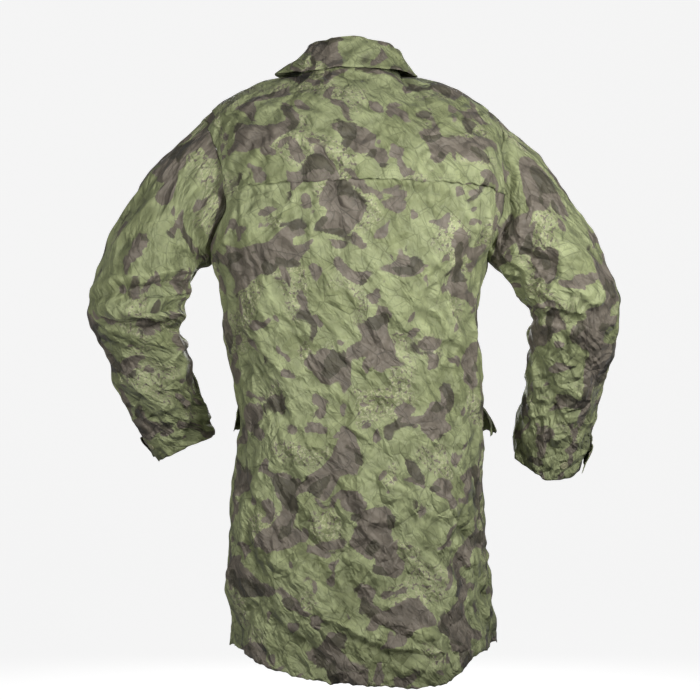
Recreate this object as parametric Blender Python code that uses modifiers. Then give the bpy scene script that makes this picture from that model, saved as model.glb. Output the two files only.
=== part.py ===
"""Thigh-length raincoat of thin nylon cloth, filled out as worn, arms out from the body and bent.

The frame is in metres. The origin is at the base of the neck, midway between the shoulder seams.
+X is the wearer's right, +Y is the wearer's front and +Z is up. The cloth is open at the neck, the
hem and both cuffs, and each cut piece is a wall of its own. A grid of points is the outer face of a
piece, its rows running down the garment, and the wall's thickness lies inside it.
"""
import math
from collections import namedtuple

import bmesh
import bpy
import numpy as np

MM = 0.001
CLOTH = 1.2 * MM                # wall of every cloth piece
SEAM_GAP = 0.3 * MM             # between pieces sewn edge to edge, or lying one on another
ARMHOLE_GAP = 0.75 * MM         # at the armhole, where the two walls lean towards each other
LAYER = CLOTH + SEAM_GAP        # how far out a piece lies that is sewn on top of another

BACK, FRONT = -1, 1             # which way a face of the torso looks along Y
LEFT, RIGHT = -1, 1             # which side of the wearer, along X

# Neckline, shoulders and levels.
NECK_HALF = 0.0855
NECK_BACK = 0.060
NECK_FRONT = 0.085
NECK_BACK_RISE = 0.010
NECK_FRONT_DROP = 0.070
SHOULDER_TIP_Z = -0.068
SHOULDER_SLOPE_POWER = 2.1      # 1 is a straight slope; above it the slope starts level
ARMPIT_Z = -0.306
HEM_SIDE_Z = -0.945
HEM_FRONT_DIP = 0.010
SHOULDER_ROUND = 0.35           # share of the armhole's depth over which the shoulder rounds off
SECTION_POWER = 2.4             # torso section: 2 is an ellipse, more is boxier
CHEST_BULGE_POWER = 1.15        # the same at the shoulders, where a row is a flat arch

# The armhole, from shoulder tip (drop 0) to armpit (drop 1).
ArmholeRow = namedtuple("ArmholeRow", "drop left right")
ARMHOLE = [
    ArmholeRow(0.00, -0.244, 0.247),
    ArmholeRow(0.17, -0.228, 0.251),
    ArmholeRow(0.35, -0.211, 0.254),
    ArmholeRow(0.56, -0.204, 0.254),
    ArmholeRow(0.80, -0.218, 0.243),
    ArmholeRow(0.93, -0.227, 0.233),
    ArmholeRow(1.00, -0.230, 0.230),
]
ARMHOLE_BACK_DEPTH = 0.085
ARMHOLE_FRONT_DEPTH = 0.075

# Furthest points of the upper torso behind and in front, by the same drop.
UpperRow = namedtuple("UpperRow", "drop back front")
UPPER = [
    UpperRow(0.00, -0.095, 0.100),
    UpperRow(0.10, -0.105, 0.112),
    UpperRow(0.20, -0.120, 0.125),
    UpperRow(0.35, -0.138, 0.140),
    UpperRow(0.60, -0.153, 0.155),
    UpperRow(0.80, -0.156, 0.160),
    UpperRow(1.00, -0.151, 0.160),
]

# Torso sections from the armpits down: side seams, and the furthest points behind and in front.
BodyRow = namedtuple("BodyRow", "z left right back front")
BODY = [
    BodyRow(-0.306, -0.230, 0.230, -0.151, 0.160),
    BodyRow(-0.373, -0.213, 0.212, -0.142, 0.156),
    BodyRow(-0.440, -0.207, 0.212, -0.131, 0.151),
    BodyRow(-0.507, -0.190, 0.217, -0.125, 0.149),
    BodyRow(-0.591, -0.183, 0.218, -0.132, 0.150),
    BodyRow(-0.692, -0.195, 0.222, -0.148, 0.153),
    BodyRow(-0.793, -0.203, 0.227, -0.156, 0.157),
    BodyRow(-0.894, -0.204, 0.238, -0.165, 0.164),
    BodyRow(-0.945, -0.198, 0.239, -0.170, 0.168),
]

# The back's hem, from the left side seam (-1) to the right one (1). It hangs lowest right of the
# middle, and its right corner is turned up.
HemRow = namedtuple("HemRow", "across z")
BACK_HEM = [
    HemRow(-1.00, -0.945),
    HemRow(-0.72, -0.948),
    HemRow(-0.50, -0.967),
    HemRow(-0.25, -0.985),
    HemRow(0.00, -0.991),
    HemRow(0.25, -0.996),
    HemRow(0.42, -0.993),
    HemRow(0.52, -0.977),
    HemRow(0.62, -0.952),
    HemRow(0.75, -0.946),
    HemRow(1.00, -0.945),
]

# Sleeve rings below the armhole: their outer and inner points in X and Z, how far forward their
# middle is, half their depth, and how much lower the back of the ring hangs than its middle.
SleeveRow = namedtuple("SleeveRow", "outer_x outer_z inner_x inner_z y depth back_drop")
SLEEVE_LEFT = [
    SleeveRow(-0.310, -0.130, -0.236, -0.314, -0.005, 0.086, 0.000),
    SleeveRow(-0.363, -0.206, -0.253, -0.322, -0.015, 0.082, 0.000),
    SleeveRow(-0.403, -0.282, -0.266, -0.347, -0.030, 0.078, 0.004),
    SleeveRow(-0.427, -0.349, -0.270, -0.371, -0.045, 0.076, 0.008),
    SleeveRow(-0.434, -0.388, -0.278, -0.393, -0.046, 0.074, 0.008),
    SleeveRow(-0.425, -0.427, -0.281, -0.417, -0.022, 0.071, 0.006),
    SleeveRow(-0.407, -0.474, -0.272, -0.460, 0.020, 0.066, 0.004),
    SleeveRow(-0.387, -0.543, -0.260, -0.522, 0.060, 0.062, 0.004),
    SleeveRow(-0.363, -0.601, -0.247, -0.566, 0.095, 0.060, 0.003),
    SleeveRow(-0.333, -0.650, -0.237, -0.603, 0.120, 0.058, 0.003),
]
SLEEVE_RIGHT = [
    SleeveRow(0.319, -0.135, 0.234, -0.313, -0.005, 0.086, 0.000),
    SleeveRow(0.361, -0.196, 0.249, -0.328, -0.015, 0.082, 0.000),
    SleeveRow(0.405, -0.267, 0.270, -0.350, -0.030, 0.078, 0.004),
    SleeveRow(0.435, -0.338, 0.285, -0.379, -0.045, 0.076, 0.008),
    SleeveRow(0.444, -0.384, 0.296, -0.404, -0.046, 0.074, 0.012),
    SleeveRow(0.445, -0.424, 0.299, -0.430, -0.022, 0.071, 0.016),
    SleeveRow(0.438, -0.474, 0.300, -0.477, 0.020, 0.067, 0.020),
    SleeveRow(0.428, -0.546, 0.294, -0.543, 0.060, 0.064, 0.026),
    SleeveRow(0.413, -0.601, 0.288, -0.595, 0.095, 0.063, 0.034),
    SleeveRow(0.401, -0.648, 0.287, -0.632, 0.120, 0.062, 0.040),
]
SLEEVES = {LEFT: SLEEVE_LEFT, RIGHT: SLEEVE_RIGHT}

# Collar lines, from the neck seam up the stand, over the fold and down the fall. Each is an arch
# round the neck, open in front: half widths, depths, levels, and the angle from the back at which
# it ends.
CollarRow = namedtuple("CollarRow", "left right back front z_side z_back z_front end")
COLLAR = [
    CollarRow(0.0843, 0.0843, 0.0588, 0.0838, 0.0003, 0.0103, -0.0680, 163),
    CollarRow(0.0780, 0.0785, 0.0560, 0.0790, 0.0240, 0.0360, -0.0360, 166),
    CollarRow(0.0715, 0.0735, 0.0530, 0.0740, 0.0420, 0.0560, -0.0100, 168),
    CollarRow(0.0750, 0.0775, 0.0570, 0.0780, 0.0480, 0.0610, -0.0040, 168),
    CollarRow(0.0795, 0.0845, 0.0620, 0.0830, 0.0440, 0.0570, -0.0100, 166),
    CollarRow(0.0960, 0.0955, 0.0730, 0.1040, 0.0265, 0.0350, -0.0320, 158),
    CollarRow(0.1250, 0.1130, 0.0860, 0.1300, 0.0050, 0.0050, -0.0560, 148),
]

# The largest folds, as seen from behind or in front: a straight run from (x0, z0) to (x1, z1), its
# height out of the cloth (a trough is below zero) and half its width.
Fold = namedtuple("Fold", "x0 z0 x1 z1 height half_width")
BACK_FOLDS = [
    Fold(-0.072, -0.185, -0.078, -0.330, -0.008, 0.016),
    Fold(-0.145, -0.400, -0.067, -0.625, 0.013, 0.024),
    Fold(-0.030, -0.570, 0.190, -0.590, 0.012, 0.026),
    Fold(0.008, -0.660, 0.134, -0.710, 0.012, 0.024),
    Fold(-0.185, -0.700, -0.020, -0.900, 0.014, 0.030),
    Fold(-0.040, -0.870, 0.200, -0.950, 0.014, 0.028),
    Fold(0.170, -0.280, 0.020, -0.480, 0.010, 0.024),
    Fold(0.110, -0.740, 0.220, -0.860, -0.011, 0.026),
    Fold(-0.170, -0.240, -0.120, -0.400, 0.008, 0.022),
]
FRONT_FOLDS = [
    Fold(0.180, -0.330, 0.080, -0.500, 0.012, 0.026),
    Fold(-0.180, -0.340, -0.090, -0.490, 0.012, 0.026),
    Fold(-0.160, -0.830, -0.080, -0.960, 0.012, 0.028),
    Fold(0.150, -0.840, 0.120, -0.960, 0.013, 0.028),
]
SLEEVE_FOLDS = [
    Fold(-0.285, -0.372, -0.350, -0.372, -0.016, 0.016),
    Fold(-0.280, -0.425, -0.400, -0.412, -0.015, 0.016),
    Fold(-0.285, -0.398, -0.390, -0.392, 0.010, 0.014),
    Fold(-0.300, -0.235, -0.370, -0.340, 0.010, 0.022),
    Fold(-0.375, -0.500, -0.300, -0.560, 0.009, 0.020),
    Fold(0.300, -0.395, 0.400, -0.405, -0.016, 0.016),
    Fold(0.300, -0.360, 0.410, -0.370, 0.011, 0.016),
    Fold(0.310, -0.250, 0.400, -0.370, 0.010, 0.022),
    Fold(0.330, -0.470, 0.400, -0.560, 0.009, 0.020),
]

# Grid lines. Across a face of the torso 0 is its middle and 1 a side seam; down it 0 is the
# shoulder seam, 1 the armpit and 2 the hem. Along a sleeve 0 is the armhole and each row of its
# table is one more.
NECK_SHARE = 0.38               # the part of half a face that the neckline takes at the top
BACK_HALF = (0.095, 0.19, 0.285, 0.38, 0.50, 0.62, 0.74, 0.85, 0.94, 0.985, 1.0)
FRONT_HALF = (0.07, 0.15, 0.26, 0.38, 0.50, 0.62, 0.74, 0.85, 0.92, 0.985, 1.0)
UPPER_LINES = (0.0, 0.004, 0.03, 0.13, 0.27, 0.43, 0.60, 0.83, 0.94, 1.0)
LOWER_LINES = (1.07, 1.147, 1.22, 1.285, 1.35, 1.40, 1.45, 1.554, 1.655, 1.757, 1.85, 1.93, 2.0)
TORSO_LINES = UPPER_LINES + LOWER_LINES
SLEEVE_LINES = (0, 0.5, 1, 1.6, 2.2, 2.8, 3.3, 3.8, 4.2, 4.6, 5.2, 5.9, 6.6, 7.4, 8.2, 9.1, 9.8, 10)

YOKE_ACROSS, YOKE_TOP, YOKE_HEM = 0.94, 0.004, 0.60
YOKE_HEM_LIFT = 7 * MM          # the loose hem of the yoke stands off the back
LAP_EDGE, LAP_START = 0.07, 0.15     # the left front's lap, past the middle and where it rises
POCKET_ACROSS, POCKET_TOP, POCKET_FOOT = (0.26, 0.85), 1.40, 1.757
FLAP_ACROSS, FLAP_TOP, FLAP_FOOT = (0.26, 0.92), 1.35, 1.45
FLAP_LIFT = {LEFT: 17 * MM, RIGHT: 30 * MM}     # how far the rear corner stands out
TAB_LINES = (9.1, 9.8)
TAB_FRONT_COLUMNS = 5           # sleeve columns that a cuff tab covers in front of the outer line
TAB_BACK_COLUMNS = {LEFT: 1, RIGHT: 3}
TAB_END_LIFT = {LEFT: 3 * MM, RIGHT: 8 * MM}

STUD_RADIUS, STUD_HEIGHT, STUD_SIDES = 7.0 * MM, 2.2 * MM, 14
FRONT_STUD_LINES = (0.13, 0.60, 1.07, 1.285, 1.45, 1.655)    # each stud is just below its line
CUFF_STUD_COLUMN = {LEFT: 2, RIGHT: 4}

SAGE = (0.36, 0.41, 0.23)
SAGE_DARK = (0.24, 0.28, 0.14)
STUD_GREEN = (0.30, 0.31, 0.20)


def clear_scene():
    for thing in list(bpy.data.objects):
        bpy.data.objects.remove(thing, do_unlink=True)


def make_material(name, colour, roughness, metallic=0.0):
    material = bpy.data.materials.new(name)
    material.use_nodes = True
    shader = material.node_tree.nodes["Principled BSDF"]
    shader.inputs["Base Color"].default_value = (*colour, 1.0)
    shader.inputs["Roughness"].default_value = roughness
    shader.inputs["Metallic"].default_value = metallic
    return material


def smooth(share):
    share = np.clip(share, 0.0, 1.0)
    return share * share * (3.0 - 2.0 * share)


def through(places, values, at):
    """A smooth curve through a table's values, read at any places between its first and last."""
    places, values = np.asarray(places, float), np.asarray(values, float)
    at = np.clip(at, places[0], places[-1])
    slopes = np.gradient(values, places, axis=0)
    low = np.clip(np.searchsorted(places, at, side="right") - 1, 0, len(places) - 2)
    step = places[low + 1] - places[low]
    t = (at - places[low]) / step
    if values.ndim > 1:
        t, step = t[:, None, None], step[:, None, None]
    rest = 1.0 - t
    return (values[low] * (1 + 2 * t) * rest ** 2 + slopes[low] * step * t * rest ** 2
            + values[low + 1] * (3 - 2 * t) * t ** 2 - slopes[low + 1] * step * rest * t ** 2)


def named(rows, column):
    return [getattr(row, column) for row in rows]


def from_top(rows, column, at):
    """A column of a table whose z falls row by row, read at the levels in at."""
    return through([-row.z for row in rows], named(rows, column), -at)


def armhole_side(drop, side):
    return through(named(ARMHOLE, "drop"), named(ARMHOLE, "left" if side == LEFT else "right"), drop)


def armhole_depth(drop, face):
    depth = ARMHOLE_BACK_DEPTH if face == BACK else ARMHOLE_FRONT_DEPTH
    return face * depth * np.sqrt(np.clip(1.0 - (1.0 - 2.0 * drop) ** 2, 0.0, 1.0))


def torso_grid(face, across, lines):
    """Points of the torso's back or front, a row for each line and a column for each place across."""
    a = np.asarray(across, float)[None, :]
    v = np.asarray(lines, float)[:, None]
    drop, lower = np.clip(v, 1e-6, 1.0), np.clip(v - 1.0, 0.0, 1.0)
    level = ARMPIT_Z + lower * (HEM_SIDE_Z - ARMPIT_Z)
    above = v < 1.0
    left = np.where(above, armhole_side(drop, LEFT), from_top(BODY, "left", level))
    right = np.where(above, armhole_side(drop, RIGHT), from_top(BODY, "right", level))
    reach = "back" if face == BACK else "front"
    furthest = np.where(above, through(named(UPPER, "drop"), named(UPPER, reach), drop),
                        from_top(BODY, reach, level))

    # The section that a row has once it is clear of the shoulders.
    angle = a * math.pi / 2
    bend = np.sin(angle)
    power = CHEST_BULGE_POWER + (SECTION_POWER - CHEST_BULGE_POWER) * smooth(drop)
    bulge = np.clip(1.0 - np.abs(bend) ** SECTION_POWER, 0.0, 1.0) ** (1.0 / power)
    rounding = np.sqrt(1.0 - (1.0 - np.minimum(drop / SHOULDER_ROUND, 1.0)) ** 2)
    edge = np.where(above, armhole_depth(drop, face) / rounding, 0.0)
    section_x = (left + right) / 2 + (right - left) / 2 * bend
    section_y = edge + (furthest - edge) * bulge

    # The neckline and the shoulder seams, which the top row follows.
    turn = np.clip(np.abs(a) / NECK_SHARE, 0.0, 1.0) * math.pi / 2
    along_shoulder = np.clip((np.abs(a) - NECK_SHARE) / (1.0 - NECK_SHARE), 0.0, 1.0)
    armhole = np.where(a < 0, -left, right)
    top_x = np.sign(a) * (NECK_HALF * np.sin(turn) + (armhole - NECK_HALF) * along_shoulder)
    neck_depth = NECK_BACK if face == BACK else NECK_FRONT
    neck_rise = NECK_BACK_RISE if face == BACK else -NECK_FRONT_DROP
    top_y = face * neck_depth * np.cos(turn)
    top_z = neck_rise * np.cos(turn) ** 2 + SHOULDER_TIP_Z * along_shoulder ** SHOULDER_SLOPE_POWER

    x = top_x + (section_x - top_x) * smooth(drop / 0.6)
    y = top_y + (section_y - top_y) * np.where(above, rounding, 1.0)
    if face == BACK:
        hem_z = through(named(BACK_HEM, "across"), named(BACK_HEM, "z"), a)
    else:
        hem_z = HEM_SIDE_Z - HEM_FRONT_DIP * np.cos(angle) ** 2
    z = np.where(above, top_z + (ARMPIT_Z - top_z) * drop, ARMPIT_Z + lower * (hem_z - ARMPIT_Z))
    y = y + face * SEAM_GAP / 2
    return np.stack(np.broadcast_arrays(x, y, z), axis=-1)


def outward(grid, wraps=False):
    """Unit normals of a grid, whose columns run to the right as it is seen from outside."""
    if wraps:
        grid = np.concatenate([grid[:, -1:], grid, grid[:, :1]], axis=1)
    down = np.gradient(grid, axis=0)
    rightward = np.gradient(grid, axis=1)
    normal = np.cross(down, rightward)
    normal /= np.maximum(np.linalg.norm(normal, axis=-1, keepdims=True), 1e-12)
    return normal[:, 1:-1] if wraps else normal


def fold_height(grid, folds):
    """How far the folds lift each point, from its distance to each fold's run in X and Z."""
    height = np.zeros(grid.shape[:2])
    flat = grid[..., (0, 2)]
    for fold in folds:
        start = np.array((fold.x0, fold.z0))
        run = np.array((fold.x1, fold.z1)) - start
        share = np.clip(((flat - start) @ run) / (run @ run), 0.0, 1.0)
        distance = np.linalg.norm(flat - start - share[..., None] * run, axis=-1)
        fade = np.sin(math.pi * np.clip(share, 0.08, 0.92)) ** 0.5
        height += fold.height * fade * np.exp(-(distance / fold.half_width) ** 2)
    return height


def folded(grid, folds, hold, wraps=False):
    """The grid with its folds raised. hold is 0 where a seam keeps the cloth in place."""
    return grid + outward(grid, wraps) * (fold_height(grid, folds) * hold)[..., None]


def torso_panel(face, across, lines, folds):
    hold = smooth((1.0 - np.abs(across)) / 0.12)[None, :] * smooth(np.asarray(lines) / 0.3)[:, None]
    return folded(torso_grid(face, across, lines), folds, hold)


def sleeve_grid(side):
    """A sleeve as a tube of rings. Its columns start at the outer line and pass the back first."""
    drops = np.array(UPPER_LINES)
    back_turn = np.arccos(1.0 - 2.0 * drops)
    turns = np.concatenate([back_turn, 2 * math.pi - back_turn[-2:0:-1]])
    armhole_drop = (1.0 - np.cos(turns)) / 2
    x = armhole_side(armhole_drop, side) + side * ARMHOLE_GAP
    y = np.where(turns <= math.pi, armhole_depth(armhole_drop, BACK), armhole_depth(armhole_drop, FRONT))
    z = SHOULDER_TIP_Z + (ARMPIT_Z - SHOULDER_TIP_Z) * armhole_drop
    rings = [np.stack([x, y, z], axis=-1)]
    for row in SLEEVES[side]:
        outer = np.array((row.outer_x, row.y, row.outer_z))
        inner = np.array((row.inner_x, row.y, row.inner_z))
        to_back = np.array((0.0, -row.depth, -row.back_drop))
        rings.append((outer + inner) / 2 + np.cos(turns)[:, None] * (outer - inner) / 2
                     + np.sin(turns)[:, None] * to_back)
    grid = through(np.arange(len(rings)), np.stack(rings), np.array(SLEEVE_LINES, float))
    hold = smooth(np.array(SLEEVE_LINES) / 2)[:, None]
    if side == RIGHT:
        grid = grid[:, ::-1]
    return folded(grid, SLEEVE_FOLDS, hold, wraps=True)


def raised(grid, distance):
    """A piece that lies on another: the other's own points, moved out by a distance each."""
    return grid + outward(grid) * np.broadcast_to(distance, grid.shape[:2])[..., None]


def line_index(lines, value):
    return int(np.argmin(np.abs(np.asarray(lines) - value)))


def part_of(grid, across, top, foot, from_across, to_across):
    """The part of a torso panel's grid between two of its lines and two of its columns."""
    first, last = sorted((line_index(across, from_across), line_index(across, to_across)))
    return grid[line_index(TORSO_LINES, top):line_index(TORSO_LINES, foot) + 1, first:last + 1]


def add_cloth(name, grid, material, wraps=False):
    """One cut piece: its grid as an open surface, given its wall by Solidify."""
    rows, columns = grid.shape[:2]
    mesh = bpy.data.meshes.new(name)
    surface = bmesh.new()
    verts = [[surface.verts.new(point) for point in row] for row in grid.tolist()]
    for r in range(rows - 1):
        for c in range(columns if wraps else columns - 1):
            after = (c + 1) % columns
            surface.faces.new((verts[r][c], verts[r + 1][c], verts[r + 1][after], verts[r][after]))
    surface.to_mesh(mesh)
    surface.free()
    mesh.materials.append(material)
    piece = bpy.data.objects.new(name, mesh)
    bpy.data.collections["raincoat"].objects.link(piece)
    wall = piece.modifiers.new("wall", "SOLIDIFY")
    wall.thickness = CLOTH
    wall.offset = -1.0
    return piece


def add_stud(name, facet, material):
    """A press stud's round cap, standing on the middle of a facet of cloth, square to it."""
    normal = np.cross(facet[-1, -1] - facet[0, 0], facet[0, -1] - facet[-1, 0])
    normal /= np.linalg.norm(normal)
    bpy.ops.mesh.primitive_cylinder_add(vertices=STUD_SIDES, radius=STUD_RADIUS, depth=STUD_HEIGHT)
    stud = bpy.context.object
    stud.name = stud.data.name = name
    for collection in list(stud.users_collection):
        collection.objects.unlink(stud)
    bpy.data.collections["raincoat"].objects.link(stud)
    stud.location = facet.mean(axis=(0, 1)) + normal * (STUD_HEIGHT / 2 + SEAM_GAP)
    stud.rotation_euler = to_euler(normal)
    stud.data.materials.append(material)
    rim = stud.modifiers.new("rounded rim", "BEVEL")
    rim.width = 0.6 * MM
    rim.segments = 1
    rim.limit_method = "ANGLE"
    return stud


def to_euler(axis):
    """The turn that takes +Z to an axis."""
    x, y, z = axis
    return (0.0, math.acos(max(-1.0, min(1.0, z))), math.atan2(y, x))


def make_back(cloth):
    across = [-a for a in reversed(BACK_HALF)] + [0.0] + list(BACK_HALF)
    grid = torso_panel(BACK, np.array(across), TORSO_LINES, BACK_FOLDS)
    add_cloth("back", grid, cloth)

    # The yoke lies on the back and stands off it more and more towards its loose hem.
    under = part_of(grid, across, YOKE_TOP, YOKE_HEM, -YOKE_ACROSS, YOKE_ACROSS)
    towards_hem = np.linspace(0.0, 1.0, under.shape[0])[:, None] ** 2
    add_cloth("back_yoke", raised(under, LAYER + YOKE_HEM_LIFT * towards_hem), cloth)


def front_across(side):
    """The columns of a front, from right to left as the wearer has them, seen from outside."""
    whole = [-a for a in reversed(FRONT_HALF)] + [0.0] + list(FRONT_HALF)
    if side == RIGHT:
        return np.array([a for a in reversed(whole) if a >= -LAP_EDGE])
    return np.array([a for a in reversed(whole) if a <= LAP_EDGE])


def make_front(side, cloth, stud_material):
    name = "left" if side == LEFT else "right"
    across = front_across(side)
    grid = torso_panel(FRONT, across, TORSO_LINES, FRONT_FOLDS)
    if side == LEFT:
        over = np.clip((across + LAP_START) / (LAP_START - LAP_EDGE), 0.0, 1.0)
        grid = raised(grid, (LAYER * over)[None, :])
    add_cloth("front_" + name, grid, cloth)

    inner, outer = (side * a for a in POCKET_ACROSS)
    under = part_of(grid, across, POCKET_TOP, POCKET_FOOT, inner, outer)
    add_cloth("pocket_" + name, raised(under, LAYER), cloth)

    # The flap lies over the pocket's mouth, and its rear lower corner stands out from the hip.
    inner, outer = (side * a for a in FLAP_ACROSS)
    under = part_of(grid, across, FLAP_TOP, FLAP_FOOT, inner, outer)
    down = np.linspace(0.0, 1.0, under.shape[0])[:, None]
    rearward = np.linspace(0.0, 1.0, under.shape[1])[None, :]
    if side == RIGHT:
        rearward = rearward[:, ::-1]
    lift = LAYER + LAYER * np.minimum(down * 2, 1.0) + FLAP_LIFT[side] * down * rearward ** 2
    add_cloth("pocket_flap_" + name, raised(under, lift), cloth)

    if side == LEFT:
        lap = line_index(across, LAP_EDGE)
        for number, line in enumerate(FRONT_STUD_LINES, start=1):
            row = line_index(TORSO_LINES, line)
            add_stud(f"front_stud_{number}", grid[row:row + 2, lap:lap + 2], stud_material)


def make_sleeve(side, cloth, stud_material):
    name = "left" if side == LEFT else "right"
    grid = sleeve_grid(side)
    add_cloth("sleeve_" + name, grid, cloth, wraps=True)

    # The cuff tab lies on the outer side of the hem, its free end standing a little off behind.
    count = grid.shape[1]
    turn_order = range(-TAB_FRONT_COLUMNS, TAB_BACK_COLUMNS[side] + 1)
    order = [(column if side == LEFT else count - 1 - column) % count for column in turn_order]
    if side == RIGHT:
        order = order[::-1]
    rows = slice(line_index(SLEEVE_LINES, TAB_LINES[0]), line_index(SLEEVE_LINES, TAB_LINES[1]) + 1)
    under = grid[rows][:, order]
    rearward = np.linspace(0.0, 1.0, under.shape[1])[None, :]
    if side == RIGHT:
        rearward = rearward[:, ::-1]
    add_cloth("cuff_tab_" + name, raised(under, LAYER + TAB_END_LIFT[side] * rearward ** 4), cloth)

    column = CUFF_STUD_COLUMN[side]
    columns = [column, column + 1] if side == LEFT else [count - 2 - column, count - 1 - column]
    add_stud("cuff_stud_" + name, grid[rows][:, columns], stud_material)


def make_collar(cloth):
    """Stand and fall in one sheet, folded over at the top, whose ends meet in front."""
    back_turns = [90 * a / NECK_SHARE for a in BACK_HALF if a <= NECK_SHARE]
    front_turns = [180 - 90 * a / NECK_SHARE for a in reversed(FRONT_HALF) if LAP_EDGE < a < NECK_SHARE]
    half = back_turns + front_turns + [COLLAR[0].end]
    whole = [-turn for turn in reversed(half)] + [0.0] + half
    rows = []
    for line in COLLAR:
        turns = np.radians([math.copysign(min(abs(turn), line.end), turn) for turn in whole])
        half_width = np.where(turns < 0, line.left, line.right)
        behind, ahead = np.clip(np.cos(turns), 0, 1), np.clip(-np.cos(turns), 0, 1)
        x = half_width * np.sin(turns)
        y = ahead * line.front - behind * line.back
        z = line.z_side + (line.z_back - line.z_side) * behind ** 2
        z = z + (line.z_front - line.z_side) * ahead ** 2
        rows.append(np.stack([x, y, z], axis=-1))
    add_cloth("collar", np.stack(rows), cloth)


def main():
    clear_scene()
    coat = bpy.data.collections.new("raincoat")
    bpy.context.scene.collection.children.link(coat)
    cloth = make_material("printed_nylon", SAGE, 0.55)
    trim = make_material("printed_nylon_trim", SAGE_DARK, 0.6)
    stud_material = make_material("stud_plastic", STUD_GREEN, 0.4)
    make_back(cloth)
    for side in (LEFT, RIGHT):
        make_front(side, cloth, stud_material)
        make_sleeve(side, cloth, stud_material)
    make_collar(trim)


main()
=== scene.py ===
"""Looks of a thin printed nylon raincoat, filled out as worn, its arms out from the body and bent.

Metres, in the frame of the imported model: the origin is at the base of the neck, +X is the wearer's
right, +Y the wearer's front and +Z up. Every cloth piece is a fine grid of points, its outer face,
on the form of its solid. Creases raise and sink it, and Solidify gives it its wall.
"""
import math
from collections import namedtuple

import bpy
import numpy as np
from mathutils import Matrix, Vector
from mathutils.bvhtree import BVHTree
from mathutils.geometry import delaunay_2d_cdt


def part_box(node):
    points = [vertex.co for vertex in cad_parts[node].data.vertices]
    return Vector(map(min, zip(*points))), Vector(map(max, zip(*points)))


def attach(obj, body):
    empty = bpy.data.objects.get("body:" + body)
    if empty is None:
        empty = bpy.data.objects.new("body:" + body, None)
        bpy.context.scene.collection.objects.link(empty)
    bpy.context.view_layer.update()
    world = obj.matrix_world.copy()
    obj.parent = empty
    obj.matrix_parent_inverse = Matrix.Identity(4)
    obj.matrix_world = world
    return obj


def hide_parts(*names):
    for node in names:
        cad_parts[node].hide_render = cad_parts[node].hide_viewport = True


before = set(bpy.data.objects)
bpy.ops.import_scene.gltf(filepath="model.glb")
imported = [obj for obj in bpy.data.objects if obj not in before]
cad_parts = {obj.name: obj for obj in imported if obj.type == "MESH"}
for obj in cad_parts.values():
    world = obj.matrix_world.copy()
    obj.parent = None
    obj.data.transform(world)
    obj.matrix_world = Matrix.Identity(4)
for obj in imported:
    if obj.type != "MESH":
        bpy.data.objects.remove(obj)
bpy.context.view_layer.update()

MM = 0.001
WALL = 1.0 * MM
SEAM_GAP = 0.3 * MM
ARMHOLE_GAP = 0.75 * MM
LAYER = 1.5 * MM                # how far out a piece lies that is sewn on another
BACK, FRONT = -1, 1
LEFT, RIGHT = -1, 1
SIDE_NAMES = {LEFT: "left", RIGHT: "right"}

# ---------------------------------------------------------------- the garment's own sizes
NECK_HALF = 0.0855
NECK_BACK = 0.060
NECK_FRONT = 0.085
NECK_BACK_RISE = 0.010
NECK_FRONT_DROP = 0.070
SHOULDER_TIP_Z = -0.068
SHOULDER_SLOPE_POWER = 2.1      # 1 is a straight slope; above it the slope starts level
ARMPIT_Z = -0.306
HEM_SIDE_Z = -0.945
HEM_FRONT_DIP = 0.010
SHOULDER_ROUND = 0.35
SECTION_POWER = 2.4
CHEST_BULGE_POWER = 1.15
NECK_SHARE = 0.38
NECKLINE_FADE = 0.6             # share of the armhole's depth in which the top passes into a section

ArmholeRow = namedtuple("ArmholeRow", "drop left right")
ARMHOLE = [
    ArmholeRow(0.00, -0.244, 0.247),
    ArmholeRow(0.17, -0.228, 0.251),
    ArmholeRow(0.35, -0.211, 0.254),
    ArmholeRow(0.56, -0.204, 0.254),
    ArmholeRow(0.80, -0.218, 0.243),
    ArmholeRow(0.93, -0.227, 0.233),
    ArmholeRow(1.00, -0.230, 0.230),
]
ARMHOLE_BACK_DEPTH = 0.085
ARMHOLE_FRONT_DEPTH = 0.075

UpperRow = namedtuple("UpperRow", "drop back front")
UPPER = [
    UpperRow(0.00, -0.095, 0.100),
    UpperRow(0.10, -0.105, 0.112),
    UpperRow(0.20, -0.120, 0.125),
    UpperRow(0.35, -0.138, 0.140),
    UpperRow(0.60, -0.153, 0.155),
    UpperRow(0.80, -0.156, 0.160),
    UpperRow(1.00, -0.151, 0.160),
]

BodyRow = namedtuple("BodyRow", "z left right back front")
BODY = [
    BodyRow(-0.306, -0.230, 0.230, -0.151, 0.160),
    BodyRow(-0.373, -0.213, 0.212, -0.142, 0.156),
    BodyRow(-0.440, -0.207, 0.212, -0.131, 0.151),
    BodyRow(-0.507, -0.190, 0.217, -0.125, 0.149),
    BodyRow(-0.591, -0.183, 0.218, -0.132, 0.150),
    BodyRow(-0.692, -0.195, 0.222, -0.148, 0.153),
    BodyRow(-0.793, -0.203, 0.227, -0.156, 0.157),
    BodyRow(-0.894, -0.204, 0.238, -0.165, 0.164),
    BodyRow(-0.945, -0.198, 0.239, -0.170, 0.168),
]

# The back's hem, from the left side seam (-1) to the right one (1). It hangs lowest right of the
# middle, and its right corner is turned up.
HemRow = namedtuple("HemRow", "across z")
BACK_HEM = [
    HemRow(-1.00, -0.945),
    HemRow(-0.72, -0.948),
    HemRow(-0.50, -0.967),
    HemRow(-0.25, -0.985),
    HemRow(0.00, -0.991),
    HemRow(0.25, -0.996),
    HemRow(0.42, -0.993),
    HemRow(0.52, -0.977),
    HemRow(0.62, -0.952),
    HemRow(0.75, -0.946),
    HemRow(1.00, -0.945),
]

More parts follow.
